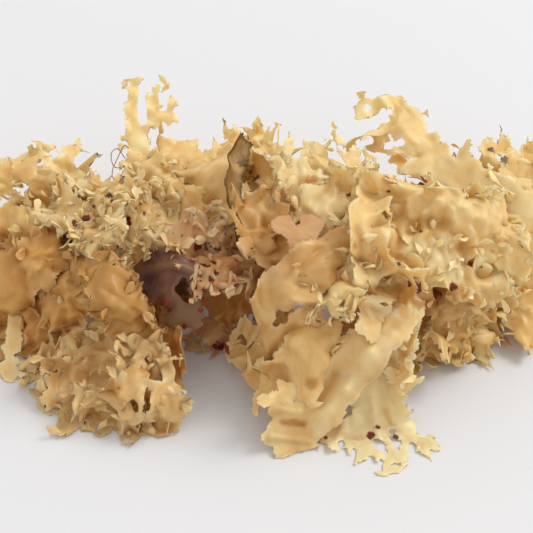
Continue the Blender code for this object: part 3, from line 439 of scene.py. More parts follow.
    Frond("inner_front", "tan", ((24, 2, 20), (16, -4, 17), (8, -10, 11), (0, -14, 3)), 13, 152,
          root=6, forks=2, spread=30, lobes=0.8, ruffle=1.2),
    Frond("back_foot_left", "tan", ((-30, 18, 21), (-33, 30, 19), (-36, 38, 10), (-38, 42, -5)),
          16, 153, root=5, forks=2, spread=32, stem=0.4, lobes=1.2, ruffle=1.5, in_view=False),
    Frond("back_foot_middle", "blond", ((0, 20, 24), (-2, 33, 21), (-4, 40, 11), (-5, 44, -5)), 18,
          154, root=5, forks=2, spread=32, stem=0.4, lobes=1.2, ruffle=1.5, in_view=False),
    Frond("back_foot_right", "tan", ((36, 20, 22), (38, 31, 19), (40, 39, 9), (42, 44, -5)), 16,
          155, root=5, forks=2, spread=32, stem=0.4, lobes=1.2, ruffle=1.5, in_view=False),
    Frond("back_middle_left", "amber", ((-14, 18, 20), (-17, 30, 17), (-19, 38, 10), (-21, 42, 3)),
          14, 158, root=5, stem=0.4, lobes=1.2, ruffle=1.5, in_view=False),
    Frond("back_middle_right", "tan", ((17, 20, 25), (19, 32, 24), (21, 40, 15), (22, 44, 5)), 15,
          159, root=5, forks=2, spread=32, stem=0.4, lobes=1.2, ruffle=1.5, in_view=False),
    Frond("back_left_end", "amber", ((-50, 8, 16), (-55, 20, 14), (-60, 28, 6), (-64, 32, -4)), 15,
          156, root=5, forks=2, spread=30, stem=0.4, ruffle=1.4, in_view=False),
    Frond("back_right_end", "amber", ((58, 12, 15), (62, 22, 12), (67, 30, 5), (71, 36, -4)), 15,
          157, root=5, forks=2, spread=30, stem=0.4, ruffle=1.4, in_view=False),
)

# The fine blade, in mm: the step of its grid, its thickness, how far it may lie from the
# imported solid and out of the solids' box, the thickness of its rim as a share, how wide
# that rim and the margin with most leaflets are, and how deep and long its clefts,
# teeth, ruffles and curls are.
GRID_STEP = 0.42
BLADE_THICKNESS = 0.4
REACH_OF_SOLID = 1.35
FRILL_BLEND = 0.45
OVERHANG = 0.9
RIM_SHARE = 0.3
RIM_WIDTH = 0.7
MARGIN_WIDTH = 1.2
CLEFT_DEPTH = 2.6
CLEFT_REACH = 2.5
TOOTH_LENGTH = 2.6
LOBING_LENGTH = 7.0
FINE_RUFFLE_LENGTH = 3.6
CURL_LENGTH = 9.0
HIGHEST_CURL = 2.2

# Rays that tell how shut in a place is, which darkens it as painted shade: where they
# start, how far they look and how slowly what they meet stops counting, in mm, and each
# ring's flatness and number.
RAY_START = 1.2
RAY_REACH = 16
RAY_FADE = 24
RAY_RINGS = ((0.35, 3), (0.85, 6))
LOOKS_OUT = [Vector((math.cos(turn) * flat, math.sin(turn) * flat, math.sqrt(1 - flat ** 2)))
             for flat, turns in RAY_RINGS for turn in np.linspace(0.4, 6.7, turns, False)]

# How each frond is finished: frills to the cm of margin, the depth of its fine teeth
# in mm, the height of its fine ruffle in mm, and its number of small leaflets.
FINISHES = {
    "front_leaf": (0.2, 0.06, 0.2, 0), "front_strap": (0.2, 0.05, 0.2, 0),
    "front_fan": (0.8, 0.15, 0.3, 0), "side_strap": (1.5, 0.3, 0.5, 6),
    "centre_column": (0.5, 0.1, 0.35, 8), "inner_fold": (1.5, 0.3, 0.5, 3),
    "centre_bunch": (4, 0.5, 1, 70), "front_leaf_low": (1, 0.3, 0.4, 0),
    "left_hook": (1, 0.2, 0.3, 4), "long_arch": (4, 0.4, 0.9, 130),
    "right_cluster": (4, 0.5, 0.9, 90), "right_cluster_low": (4, 0.5, 0.9, 40),
    "thin_strap": (0, 0.1, 0.1, 0), "back_right_frond": (0.3, 0.12, 0.15, 2),
    "back_right_blade": (0.8, 0.2, 0.3, 5), "right_end": (2, 0.4, 0.7, 30),
    "right_end_low": (2, 0.4, 0.6, 20), "right_back_lobes": (2, 0.3, 0.5, 10),
    "right_back_blade": (1.5, 0.3, 0.5, 16), "dark_strap": (0, 0.1, 0.2, 0),
    "heart_leaf": (0, 0, 0, 0), "curled_cup": (2, 0.35, 0.8, 16),
    "crest_spikes": (5, 0.3, 0.5, 30), "small_antler": (5, 0.3, 0.4, 10),
    "back_spikes": (3, 0.3, 0.4, 12), "spire": (1.5, 0.25, 0.3, 6), "left_crest": (4, 0.5, 1, 170),
    "left_crest_right": (4, 0.5, 1, 140), "left_shoulder": (4, 0.5, 0.9, 130),
    "toothed_blade": (5, 0.3, 0.7, 60), "plum_blade": (0.3, 0.08, 0.1, 0),
    "garnet_ruffle": (5, 0.5, 1, 110), "left_mid_blade": (2, 0.2, 0.7, 40),
    "left_front_blade": (3, 0.3, 0.9, 40), "left_side_blade": (3, 0.3, 0.9, 40),
    "left_fan": (4, 0.5, 0.8, 70), "left_fan_right": (4, 0.5, 0.8, 50),
    "left_fan_left": (3, 0.4, 0.7, 30), "left_low": (3, 0.4, 0.7, 30),
    "left_hanging_strap": (0.5, 0.1, 0.1, 2)}
USUAL_FINISH = (2.0, 0.35, 0.6, 5)


def frills_on(segments, rng, per_cm):
    """Small forked lobes, like little antlers, that stand close along the margins."""
    made = []
    for x0, y0, x1, y1, r0, r1 in segments:
        run = math.hypot(x1 - x0, y1 - y0)
        heading = math.atan2(y1 - y0, x1 - x0)
        for side in (-1, 1):
            for _ in range(rng.poisson(per_cm * (run + 2 * r1) / 10)):
                share = rng.uniform(0.05, 1.1)
                out = heading + side * math.radians(rng.uniform(25, 95))
                wide = rng.uniform(0.28, 0.5)
                reach = r0 + (r1 - r0) * min(share, 1) + rng.uniform(0.8, 2.2)
                x, y = x0 + (x1 - x0) * share, y0 + (y1 - y0) * share
                tip = (x + reach * math.cos(out), y + reach * math.sin(out))
                made.append((x, y, *tip, wide, wide * 1.1))
                for turn in (-1, 1):
                    fork = out + turn * math.radians(rng.uniform(25, 55))
                    more = rng.uniform(0.5, 1.2)
                    made.append((*tip, tip[0] + more * math.cos(fork),
                                 tip[1] + more * math.sin(fork), wide, wide * 0.7))
    return made


def cleft(ripple):
    """Narrow clefts where a ripple passes zero, with rounded lobes between them."""
    height = np.abs(ripple)
    return 1.3 * np.maximum(1 - height / 0.2, 0) - 0.3 * np.minimum(height * 2.5, 1)


class FinePlan:
    """The frond's outline with its frills and teeth."""

    def __init__(self, frond, plan, finish):
        rng = np.random.default_rng(frond.seed + 20)
        frills, self.tooth = finish[:2]
        self.plan = plan
        self.frills = frills_on(plan.straps + plan.lobes, rng, frills)
        self.teeth = rippling(frond.seed + 21, TOOTH_LENGTH)
        self.lobing = rippling(frond.seed + 24, LOBING_LENGTH)

    def distance(self, s, t, coarse):
        solid = coarse
        for frill in self.frills:
            near = capsule(s, t, frill)
            mix = np.clip(0.5 + 0.5 * (near - solid) / FRILL_BLEND, 0, 1)
            solid = near * (1 - mix) + solid * mix - FRILL_BLEND * mix * (1 - mix)
        for s0, t0, radius in self.plan.holes:
            solid = np.maximum(solid, radius - np.hypot(s - s0, (t - t0) * HOLE_SQUEEZE))
        near = np.exp(np.minimum(coarse, 0) / CLEFT_REACH)
        solid = solid + CLEFT_DEPTH * self.tooth * near * cleft(self.lobing(s, t)[..., 0])
        return solid + self.tooth * cleft(self.teeth(s, t)[..., 1])


class Solid:
    """A frond's solid as packed, in mm, and how shut in it is by the others, for painted shade."""

    def __init__(self, name, everything):
        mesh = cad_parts[name].data
        points = [Vector(v.co) / MM for v in mesh.vertices]
        self.faces = np.array([tuple(face.vertices)[:3] for face in mesh.polygons])
        self.tree = BVHTree.FromPolygons(points, self.faces.tolist())
        self.points = np.array(points)
        # Painted shade: the share of rays that soon meet the heap.
        self.painted_shade = np.array([np.mean([blocked(everything, point, way) for way in LOOKS_OUT])
                                 for point in points])

    def near(self, places):
        """Distance from the solid, and how shut in it is there, for painted shade."""
        found = [self.tree.find_nearest(Vector(place)) for place in places]
        away = np.array([hit[3] for hit in found])
        corners = self.faces[[hit[2] for hit in found]]
        apart = np.linalg.norm(self.points[corners] - places[:, None], axis=2)
        weight = 1 / (apart + 0.2) ** 2
        painted_shade = (self.painted_shade[corners] * weight).sum(1) / weight.sum(1)
        return away, painted_shade


def blocked(tree, point, way):
    """Whether a ray that leaves a point meets the heap before long."""
    distance = tree.ray_cast(point + RAY_START * way, way, RAY_REACH)[3]
    return 0.0 if distance is None else 1 - distance / RAY_FADE


def fine_blade(frond, finish):
    """The frond's middle surface: points, quads and the marks that colour it."""
    sheet = Sheet(frond)
    plan = Plan(frond, sheet.length)
    fine = FinePlan(frond, plan, finish)
    low, high = plan.box()
    s, t = np.meshgrid(np.arange(low[0] - 2, high[0] + 2, GRID_STEP),
                       np.arange(low[1] - 2, high[1] + 2, GRID_STEP), indexing="ij")
    coarse = plan.distance(s, t)
    field = fine.distance(s, t, coarse)
    away, painted_shade = beyond_solid(frond, sheet, s, t, coarse, field)
    field = np.maximum(field, away)
    slope_s, slope_t = np.gradient(field, GRID_STEP)
    inside = field < 0
    cells = inside[:-1, :-1] | inside[1:, :-1] | inside[1:, 1:] | inside[:-1, 1:]
    used = np.zeros_like(inside)
    for part in (used[:-1, :-1], used[1:, :-1], used[1:, 1:], used[:-1, 1:]):
        part |= cells
    steep = np.maximum(slope_s ** 2 + slope_t ** 2, 0.3)
    pull = np.where(used & (field > 0), np.minimum(field / steep, 1.2 * GRID_STEP), 0)
    s, t = s - pull * slope_s, t - pull * slope_t
    at_s, at_t = s[used], t[used]
    number = np.full(used.shape, -1)
    number[used] = np.arange(len(at_s))
    outside = np.maximum(plan.distance(at_s, at_t), 0)
    points = sheet.place(at_s, at_t, np.maximum(-coarse[used], 0))
    points, lift = ruffled(points, frond, finish, sheet, at_s, at_t, -field[used], outside)
    corner = np.argwhere(cells)
    i, j = corner.T
    quads = np.stack([number[i, j], number[i + 1, j], number[i + 1, j + 1], number[i, j + 1]], 1)
    # The shut-in share becomes painted shade; the lift gives a painted highlight on ridges and
    # painted shade in hollows.
    marks = {"depth": np.maximum(-field[used], 0), "share": np.clip(at_s / sheet.length, 0, 1.2),
             "shut in": painted_shade[used], "lift": lift, "bleached": np.zeros(len(points))}
    return points, quads, marks


def beyond_solid(frond, sheet, s, t, coarse, field):
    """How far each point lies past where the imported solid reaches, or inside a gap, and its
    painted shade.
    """
    solid = Solid(frond.name, all_of_it)
    slope_s, slope_t = np.gradient(coarse, GRID_STEP)
    back = np.maximum(coarse, 0)
    asked = field < 0.5
    near_s, near_t = (s - back * slope_s)[asked], (t - back * slope_t)[asked]
    places = sheet.place(near_s, near_t, np.maximum(-coarse[asked], 0))
    away, painted_shade = np.full(s.shape, 9.0), np.zeros(s.shape)
    away[asked], painted_shade[asked] = solid.near(places)
    away[asked] -= REACH_OF_SOLID
    across, up = in_picture(places)
    for gap in GAPS.get(frond.name, ()):
        away[asked] = np.maximum(away[asked], -capsule(across, up, (*gap, gap[-1])))
    return away, painted_shade


def ruffled(points, frond, finish, sheet, s, t, depth, outside):
    """Fine ruffles that grow towards the margin, and frills that curl up or down."""
    height = finish[2]
    _, tangent, left, normal = sheet.frame_at(np.clip(s, 0, sheet.length))
    fine = rippling(frond.seed + 22, FINE_RUFFLE_LENGTH)(s, t)
    slow = rippling(frond.seed + 23, CURL_LENGTH)(s, t)[:, 0]
    near = np.exp(-np.maximum(depth, 0) / 1.6)[:, None]
    curl = 0.35 * outside ** 2 * np.sign(slow) * np.minimum(np.abs(slow) * 3, 1)
    curl = np.clip(curl[:, None], -HIGHEST_CURL, HIGHEST_CURL)
    shift = (height * near * fine[:, :1] + curl) * normal
    shift = shift + 0.35 * height * near * (fine[:, 1:2] * left + fine[:, 2:3] * tangent)
    lift = fold_lift(points, frond)
    moved = points + shift + lift[:, None] * TO_VIEWER
    moved[:, 2] = np.maximum(moved[:, 2], REST_HALF_THICKNESS)
    return moved, lift


# Ridges and hollows of the broad blades, each along a line in the picture: across and up
# of both ends, the radius, and the lift towards the viewer, in mm. The lift also colours
# the blade: ridges get a paler painted highlight, hollows a darker painted shade.
FOLDS = {
    "front_leaf": (
        (-4.8, 5.8, -3.5, 0.2, 1.3, 1), (-3.5, 0.2, -0.2, -5.5, 1.3, 1),
        (0.5, 9.5, 1.2, 0, 2.5, -1), (3.2, -1.8, 6.5, 0, 1.2, 1.2), (6.5, 0, 14, -1, 1.2, 1.2),
        (8.5, 3.8, 13, 2.5, 2, -1), (15.8, 20.2, 11.2, 16.2, 1.3, 1),
        (11.2, 16.2, 6.5, 12.2, 1.3, 1), (13.5, 12.5, 8.5, 8, 1.9, -1.2),
        (5.2, -11.8, 17, -6.5, 1.1, 0.9), (6, -5.5, 12, -6.5, 2, 0.9)),
    "front_strap": (
        (25.8, -13.5, 19.8, -22.5, 2.8, 1.8), (19.8, -22.5, 13.8, -30.2, 2.6, 1.8),
        (17.2, -18.8, 13, -25, 2.2, -1.5), (11.2, -20.8, 11.2, -20.8, 1.8, -1.8),
        (4, -30.5, 9.2, -31, 1.4, -1.7), (8.5, -22.8, 12, -22.6, 0.9, 1.1),
        (4, -27.5, 8.5, -28, 0.9, 1.1), (1, -34.2, 10.5, -35, 0.9, 1)),
    "front_fan": (
        (21.8, -24.8, 20, -28, 3, -1), (32.2, -21.2, 35.5, -28.8, 1.5, 1.1),
        (26.5, -25, 28, -35, 1.6, 1), (29.8, -27.5, 31, -31, 1.5, -1),
        (19, -32, 16, -37, 1.4, 0.9)),
    "long_arch": (
        (41, 19.5, 44.8, 18.8, 2.5, -1.4), (39.8, 22, 42.8, 24.8, 1.2, 1.3),
        (42.8, 24.8, 46, 22.5, 1.2, 1.3), (46, 22.5, 47.2, 18.8, 1.2, 1.3),
        (27.5, 28.5, 37.2, 27.5, 1.6, 1), (29.8, 22.5, 36, 18.8, 3, -1.6),
        (45.2, 25, 55.5, 19.5, 1.6, 1), (51, 17.5, 53, 9.5, 1.4, 1.2),
        (48.5, 16.2, 49.8, 9.5, 1.8, -1.4)),
    "centre_column": (
        (19.2, 21.2, 20, 11.5, 1.1, 1.5), (20, 11.5, 22.5, 4.2, 1.1, 1.5),
        (22.5, 4.2, 25, 3.4, 1, 1.2), (16.5, 8, 18, 3.8, 1.8, -1.5),
        (22.5, 17.5, 24, 9.5, 1.8, -1.2)),
    "back_right_frond": (
        (28, 51.2, 32.2, 45, 1.3, 1), (32.2, 45, 37, 39.5, 1.5, 1),
        (36, 46, 33.5, 49.5, 1.2, -0.8), (31.5, 39.5, 34.5, 36.5, 2, -1)),
    "left_mid_blade": (
        (-60, 9, -51, 5.5, 1.6, 1.3), (-57, 3, -49, -0.5, 1.9, -1.3),
        (-63, 14, -60, 3, 1.6, -1.2)),
    "plum_blade": (
        (-20.8, 2, -20.8, 2, 1.6, -1.8), (-31.5, 7.5, -22.8, 8.8, 1.8, 1.1),
        (-22.8, 8.8, -12.8, 5, 1.8, 1.1)),
    "curled_cup": ((-0.5, 19.5, 2, 17.5, 2, -1.4),),
    "toothed_blade": ((-41.5, 2, -33, -4, 1.6, 1.2), (-43, -3, -37, -9, 1.8, -1.2)),
}


def in_picture(points):
    """Where points are seen in the picture, across and up in mm."""
    seen_from = points + HEAP_CENTRE - EYE
    scale = -VIEW_DISTANCE / (seen_from @ TO_VIEWER)
    return seen_from[:, 0] * scale, seen_from @ PICTURE_UP * scale


def fold_lift(points, frond):
    """How far the ridges and hollows of a blade move its points towards the viewer."""
    across, up = in_picture(points)
    lift = np.zeros(len(points))
    for *way, radius, height in FOLDS.get(frond.name, ()):
        away = np.maximum(capsule(across, up, (*way, 0.0, 0.0)), 0) / radius
        lift += height * np.exp(-2 * away ** 2)
    return lift


# Where the picture shows a gap, the blade is cut away: across and up of both ends of a
# round-ended line, and its radius, in mm.
GAPS = {
    "spire": (
        (-26, 43.6, -24, 41.6, 0.9), (-31, 54, -31, 44.8, 1.2), (-25.8, 53, -25.8, 48.5, 1.1),
        (-21.5, 43.5, -25, 40, 2.2)),
    "back_spikes": (
        (5.5, 47.5, 7, 43, 1.6), (1.8, 45.5, 1.8, 40.5, 1), (4.8, 45.5, 4, 40, 1.1),
        (7.5, 43.8, 6.5, 37.5, 1.2)),
    "left_fan_right": (
        (-38, -37.2, -22, -37.2, 3.7), (-18.6, -20.5, -18.4, -21, 2.9),
        (-16.9, -26, -16.9, -26.8, 3.3), (-18.8, -31.5, -18.8, -31.5, 2.6),
        (-20, -36.2, -13.5, -26.2, 3.8), (-29, -15.5, -27.5, -19.2, 1.5),
        (-33.5, -25.5, -32.5, -27, 0.8)),
    "left_fan": (
        (-38, -37.2, -25, -37.2, 3.5), (-43.5, -34, -42.5, -32.5, 1), (-39, -35, -38.8, -33, 0.8)),
    "brown_curve": (
        (-18.6, -20.5, -18.4, -21, 2.8), (-16.9, -26, -16.9, -26.8, 3.2),
        (-18.8, -31.5, -18.8, -31.5, 2.6), (-29, -15.5, -27.5, -19.2, 1.5),
        (-19.5, -20, -19, -25, 1.8)),
    "crest_spikes": (
        (15.8, 39.5, 17.6, 33.5, 1.3), (20.5, 40, 20.5, 34, 2.4), (20, 42.5, 19.8, 33, 2.2),
        (8.2, 41, 7.5, 36, 1.2), (11.5, 43, 11.8, 40, 0.8)),
    "long_arch": (
        (17.5, 35.5, 30, 33.6, 2.2), (33, -1.5, 58, -5.5, 3.8), (34, 2.2, 44, 1.2, 2),
        (28, 33.5, 36, 33.2, 1.6), (43, 31.5, 52, 29.5, 1.8)),
    "inner_fold": ((33.5, -1.5, 40, -2.5, 2.5),),
    "back_middle_right": ((17, 38, 36, 34, 4), (24, 36.5, 34, 34.5, 3)),
    "back_right_blade": ((33, 30.8, 39, 29.8, 1), (25, 33, 31, 32.6, 1.8)),
    "right_cluster": (
        (37.5, -19.5, 48, -18.3, 3.4), (48, -18.3, 58, -17.5, 2.8),
        (41.5, -21.5, 47.5, -20.5, 2.5), (51, -18, 52, -16.5, 1)),
    "left_crest": ((-37.5, 37.5, -37.2, 31, 2),),
    "back_foot_left": ((-46, 34.8, -38, 31.5, 2.6), (-44.5, 30.5, -37.5, 35.5, 2.5)),
    "left_top_blade": (
        (-59, 43, -44, 41.8, 3.6), (-46, 34.8, -38, 31.5, 2.4), (-62, 27.6, -59, 29.2, 1.4),
        (-57, 42.5, -45.5, 41.8, 2.2), (-57, 34.5, -57, 34.5, 0.9),
        (-53.5, 36.5, -53.2, 36.5, 0.8), (-51, 37, -51, 37, 0.6)),
    "left_hook": ((-6.4, -9.4, -6.1, -10, 1.1),),
    "plum_blade": (
        (-8.8, 0.5, -9.5, -9, 6.6), (-19.8, -9.6, -19.4, -10.2, 2.7),
        (-14.8, -8.8, -14.6, -9.4, 2.7), (-15.6, -1.3, -15.2, -1.5, 0.8),
        (-15.7, -4.6, -15.2, -4.8, 0.8), (-21.8, 2.8, -19.6, 0.4, 1.2)),
    "front_leaf": (
        (-6.2, -1.5, -3.2, -10, 2.3), (-3.2, -10, -1.2, -16, 2.3), (3.2, -3.5, 4.2, -4.8, 1.2),
        (2.4, -5.8, 4.5, -3.6, 0.9), (4.5, -3.6, 8.5, -1.4, 0.5), (8.5, -1.4, 13.5, -1.9, 0.4),
        (-7.5, 0, -7, -16.5, 2.2), (14.8, -2, 15.8, -4.2, 1)),
    "front_leaf_low": ((14.8, -2, 15.8, -4.2, 1.1),),
    "inner_front": ((14.8, -2, 15.8, -4.2, 1.1),),
    "centre_bunch": ((14.8, -2.2, 15.8, -4.2, 1),),
    "centre_column": ((25, 1.8, 25.5, 1.8, 0.8),),
    "back_right_frond": (
        (30, 38.4, 33.6, 39.6, 1), (33, 30.8, 39, 29.8, 1), (25.2, 48.2, 25.2, 48.2, 0.9),
        (29.2, 47.2, 29.2, 47.2, 0.8), (27.2, 43.2, 27.2, 43.2, 0.9), (21, 44.5, 23, 44, 1),
        (23.5, 39.5, 25.5, 40, 1.2)),
    "small_antler": (
        (27.5, 38, 33.5, 34.5, 2.2), (18.5, 36, 19.5, 32.5, 0.9), (24, 36, 23.8, 34, 0.5),
        (26.2, 35, 25.8, 33, 0.5)),
    "front_fan": (
        (31.5, -32.8, 31.5, -32.8, 0.9), (36.5, -36.5, 36, -39.5, 1), (21, -40.5, 21.8, -38, 0.8)),
    "mid_back_blade": ((-24, 43.2, -16.5, 42.8, 3.2),),
    "left_side_blade": ((-67, 25.2, -60, 28, 1.7),),
    "left_shoulder": ((-67, 25.2, -60, 28, 1.6),),
    "right_cluster_low": ((37.5, -19.5, 48, -18.3, 3.4), (48, -18.3, 58, -17.5, 2.8)),
}

# Parts of a blade that carry no leaflets, given the same way.
SMOOTH = {
    "long_arch": ((18, 27.5, 38, 27, 4.5), (38, 26, 54, 20, 5)),
    "back_right_frond": ((24, 46, 38, 38, 9),),
    "centre_column": ((19.5, 20, 21.5, 5, 2.2),),
}

# Stains and tones, each where it is seen: across, up and radius in mm. The brown spots
# are painted shade in hollows, cups, cavities and under overlapping blades.
STAINS = {
    "red": (
        (-9, -12, 2), (-12, -11.5, 1.6), (44, 1.8, 1.2), (35.5, 4.2, 1), (-47.8, 19.5, 1.1),
        (-45.2, 20.2, 1.4), (-38.2, 24.4, 1.2), (-34.8, 19.8, 1.3), (-35.8, 23.6, 0.9),
        (-52.5, 20.4, 0.7), (-43.2, 23.2, 0.8), (-30.5, 21.6, 0.7), (-17.2, 13.5, 1.5),
        (-15, 12.3, 1.2), (-18.6, 9.6, 1.1), (-16.2, 8.2, 1.4), (-13.4, 9.6, 1), (-17.4, 3.8, 1.5),
        (-15.4, 2, 1.2), (-15.4, -0.2, 1.2), (-13.8, 5.4, 0.9), (-12, 12.8, 0.9),
        (-21.4, 16.2, 0.7), (-10.6, 3.2, 0.9), (26, -33.8, 1.1), (27.6, -32, 0.9),
        (14.8, -34.2, 0.6), (32.2, -34.2, 0.9), (30.5, 27.2, 0.6), (41.5, 23.8, 0.5), (38, 3, 1.8),
        (42.5, 1.6, 1.5), (46.5, 3.2, 1.4), (-14.8, 8.8, 0.9), (-12.6, 6.8, 0.8),
        (-17.8, 1.6, 0.9), (-16.4, -2.6, 0.8), (-20.6, -6.8, 0.9), (-17.2, -8, 0.9),
        (-7, -8.6, 1.6), (-9.5, -12.6, 1.6), (-25.4, -1, 1.2), (20.6, 26.5, 0.9)),
    "dark": (
        (-50.8, 15.2, 1.6), (-48.6, 14.6, 1.2), (-39.5, 26, 1.1), (-39.2, 10.8, 0.9),
        (-17.8, 20.5, 1.4), (-15.6, 19.6, 1), (-19.8, 28.6, 1.3), (-20.2, 33.4, 0.9),
        (-5.8, 34.6, 1.6), (-4, 32.4, 1.2), (-2.6, 30.2, 1.1), (-20.8, 4, 4.2), (56.2, 37.4, 1.2),
        (59.4, 35.2, 1.6), (44.6, 24.8, 0.5), (19, -1.2, 1.1), (-32, 36.5, 0.4), (-11, 15.2, 1.2),
        (55, 31, 0.8), (38.5, 17.2, 0.6), (-10, 12.4, 1), (33.2, 9, 0.6), (-58, 21, 0.5)),
    "brown": (
        # Painted shade: hollows, cups, cavities and places under overlapping blades.
        (11, 30, 1.6), (38.5, 19, 2.2), (44, 19, 1.8), (49, 13, 1.6), (31, 20.5, 2), (17, 6, 2),
        (23.2, 14, 1.8), (-38, -22, 2.4), (-30, -18, 2.2), (-46, -19, 2.2), (35, 1, 3),
        (40.5, 0, 3), (46, 0.5, 2.6), (-12, -2, 2.6), (-14, -7, 2.4), (-10, -10, 2.4),
        (33.5, 2.5, 2.2), (38, 0.5, 2.6), (43, 0.5, 2.6), (48, 1.5, 2.2), (52, 0, 1.5),
        (3.4, -5, 1.7), (-8, 12, 2.6), (-8.5, 5, 2.6), (-9, -2, 2.6), (-9, -8, 2.6),
        (0.5, 19, 1.8), (11.2, -20.8, 1.5), (7, -30.8, 1.4), (-8.5, 31, 2.4), (-45, -2, 3),
        (-50, -8, 3), (-40, 3, 2.5), (17, 7, 1.6), (-27, -6, 2.2), (-58, -2, 3)),
    "bleached": (
        (-47, -30, 2.6), (-36, -30, 2.6), (-27, -28, 2.2), (-52, -24, 2.2), (-34, -12, 2),
        (-28, 16, 2), (-36, 14, 2), (-45, 27, 2.4), (56, 26, 3), (2, 26, 1.8), (13, 24, 1.8),
        (37, 13, 3), (42, 10, 3.2), (47, 8, 3.2), (52, 10, 3), (44, 14, 2.6), (19.5, 17, 1.8),
        (20.5, 9, 1.8), (27, 1, 2.4), (31, -2, 2), (5, 35, 2.4), (9, 33, 2.4), (16, -37, 2),
        (22, -38, 2), (28, -38, 2), (35, -36, 2), (1.5, 6, 2.4), (21, -20, 2.6), (25, 47, 3),
        (60, 30, 3.5), (64, 22, 3.5), (-3, 22, 1.2), (33, -26, 1.8), (-62, 38, 4), (-55, 36, 3),
        (-31, 40, 2.5), (14, -32, 2.4), (30, -12, 2.2)),
}

# How brown or bleached whole fronds are, from 0 to 1. The brown is partly the frond's
# own browner tone and partly painted shade, as on the fronds inside the heap.
TONES = {
    # Partly a browner tone of the frond, partly painted shade inside the heap.
    "brown": {
        "left_fan": 0.5, "left_fan_right": 0.5, "left_fan_left": 0.5, "left_crest": 0.3,
        "left_crest_right": 0.3, "left_shoulder": 0.4, "toothed_blade": 0.9,
        "left_mid_blade": 0.35, "left_low": 0.35, "brown_curve": 0.5, "front_leaf": 0.7,
        "front_strap": 0.3, "curled_cup": 0.8, "inner_front": 0.5, "inner_left": 0.7,
        "inner_right": 0.7, "garnet_lobe": 0.5, "garnet_ruffle": 0.5, "back_middle_left": 0.4,
        "back_middle_right": 0.3},
    "bleached": {
        "front_fan": 0.9, "mid_back_blade": 0.4, "mid_left_blade": 0.4, "back_ridge": 0.5,
        "pale_blade": 0.5, "upper_blade": 0.4, "crest_spikes": 0.4, "back_right_frond": 0.4,
        "long_arch": 0.2, "side_strap": 0.3, "right_cluster": 0.2, "back_right_blade": 0.2},
}

# The grid of a leaflet, the curl below which it counts as flat, and how far from its
# middle a stain has faded out, in radii.
LEAFLET_ROWS = 6
LEAFLET_COLUMNS = 4
NO_CURL = 0.05
STAIN_REACH = 1.6


def leaflets(rng, roots, normals, count):
    """Small spoon-shaped leaflets that stand on the blade: points, quads, how far each
    point is from the leaflet's margin, and the root that it belongs to."""
    pick = rng.integers(0, len(roots), count)
    root, normal = roots[pick], normals[pick]
    out = unit(normal * rng.choice([-1, 1, 1], count)[:, None] * rng.uniform(0.3, 1.2, (count, 1))
               + rng.normal(0, 0.6, (count, 3)))
    across = unit(np.cross(out, rng.normal(size=(count, 3))))
    face = np.cross(out, across)
    length = rng.uniform(2.0, 5.0, count)
    width = length * rng.uniform(0.24, 0.46, count)
    curl = rng.uniform(-1.3, 1.3, count)
    cup = rng.uniform(-0.5, 0.5, count)
    notch = rng.uniform(-0.15, 0.3, count)
    wavy = rng.uniform(0.0, 0.4, count)
    phase = rng.uniform(0, 2 * math.pi, count)
    u = np.linspace(0, 1, LEAFLET_ROWS + 1)[None, :, None]
    v = np.linspace(-1, 1, LEAFLET_COLUMNS + 1)[None, None, :]
    spoon = (0.14 + 0.86 * u ** 0.9) * np.sqrt(np.maximum(1 - u ** 6, 0.06))
    length, width, curl, cup, notch, wavy, phase = (
        x[:, None, None] for x in (length, width, curl, cup, notch, wavy, phase))
    along_it = u * (1 - 0.2 * v ** 2) + notch * u ** 3 * (v ** 2 - 0.5)
    turn = curl * along_it
    forward = length * np.where(np.abs(curl) < NO_CURL, along_it, np.sin(turn) / curl)
    lift = length * (1 - np.cos(turn)) / np.where(np.abs(curl) < NO_CURL, 1, curl)
    sideways = width * spoon * v
    lift = lift + cup * (width * spoon * v) ** 2 / np.maximum(width, 0.2)
    lift = lift + wavy * width * u * np.sin(3.2 * v + phase)
    points = (root[:, None, None] + forward[..., None] * out[:, None, None]
              + sideways[..., None] * across[:, None, None] + lift[..., None] * face[:, None, None])
    points = points.reshape(-1, 3)
    points[:, 2] = np.maximum(points[:, 2], REST_HALF_THICKNESS)
    depth = 0.5 * width * (1 - np.abs(v)) * (1 - u ** 4)
    depth = np.broadcast_to(depth, forward.shape).reshape(-1)
    wide = LEAFLET_COLUMNS + 1
    per = (LEAFLET_ROWS + 1) * wide
    first = np.arange(LEAFLET_ROWS)[:, None] * wide + np.arange(LEAFLET_COLUMNS)
    first = first.ravel()
    quad = np.stack([first, first + wide, first + wide + 1, first + 1], 1)
    quads = (np.arange(count)[:, None, None] * per + quad[None]).reshape(-1, 4)
    return points, quads, depth, np.repeat(pick, per)


def corner_normals(points, quads):
    """Normals at the points of a mesh of quads."""
    a, b, c, d = (points[quads[:, k]] for k in range(4))
    flat = np.cross(c - a, d - b)
    total = np.zeros_like(points)
    for k in range(4):
        np.add.at(total, quads[:, k], flat)
    return total / np.maximum(np.linalg.norm(total, axis=1, keepdims=True), 1e-9)


def all_solids():
    """Every solid as packed, in one tree for rays."""
    points, faces = [], []
    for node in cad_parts.values():
        first = len(points)
        points += [Vector(v.co) / MM for v in node.data.vertices]
        faces += [tuple(first + k for k in face.vertices) for face in node.data.polygons]
    return BVHTree.FromPolygons(points, faces)


def where_seen(spots, tree):
    """The places on the solids that lie behind spots of the picture."""
    found = []
    for across, up, radius in spots:
        eye = EYE - HEAP_CENTRE
        aim = TARGET - HEAP_CENTRE + np.array([across, 0, 0]) + up * PICTURE_UP
        place = tree.ray_cast(Vector(eye), Vector(aim - eye).normalized())[0]
        if place is not None:
            found.append((*place, radius))
    return np.array(found)


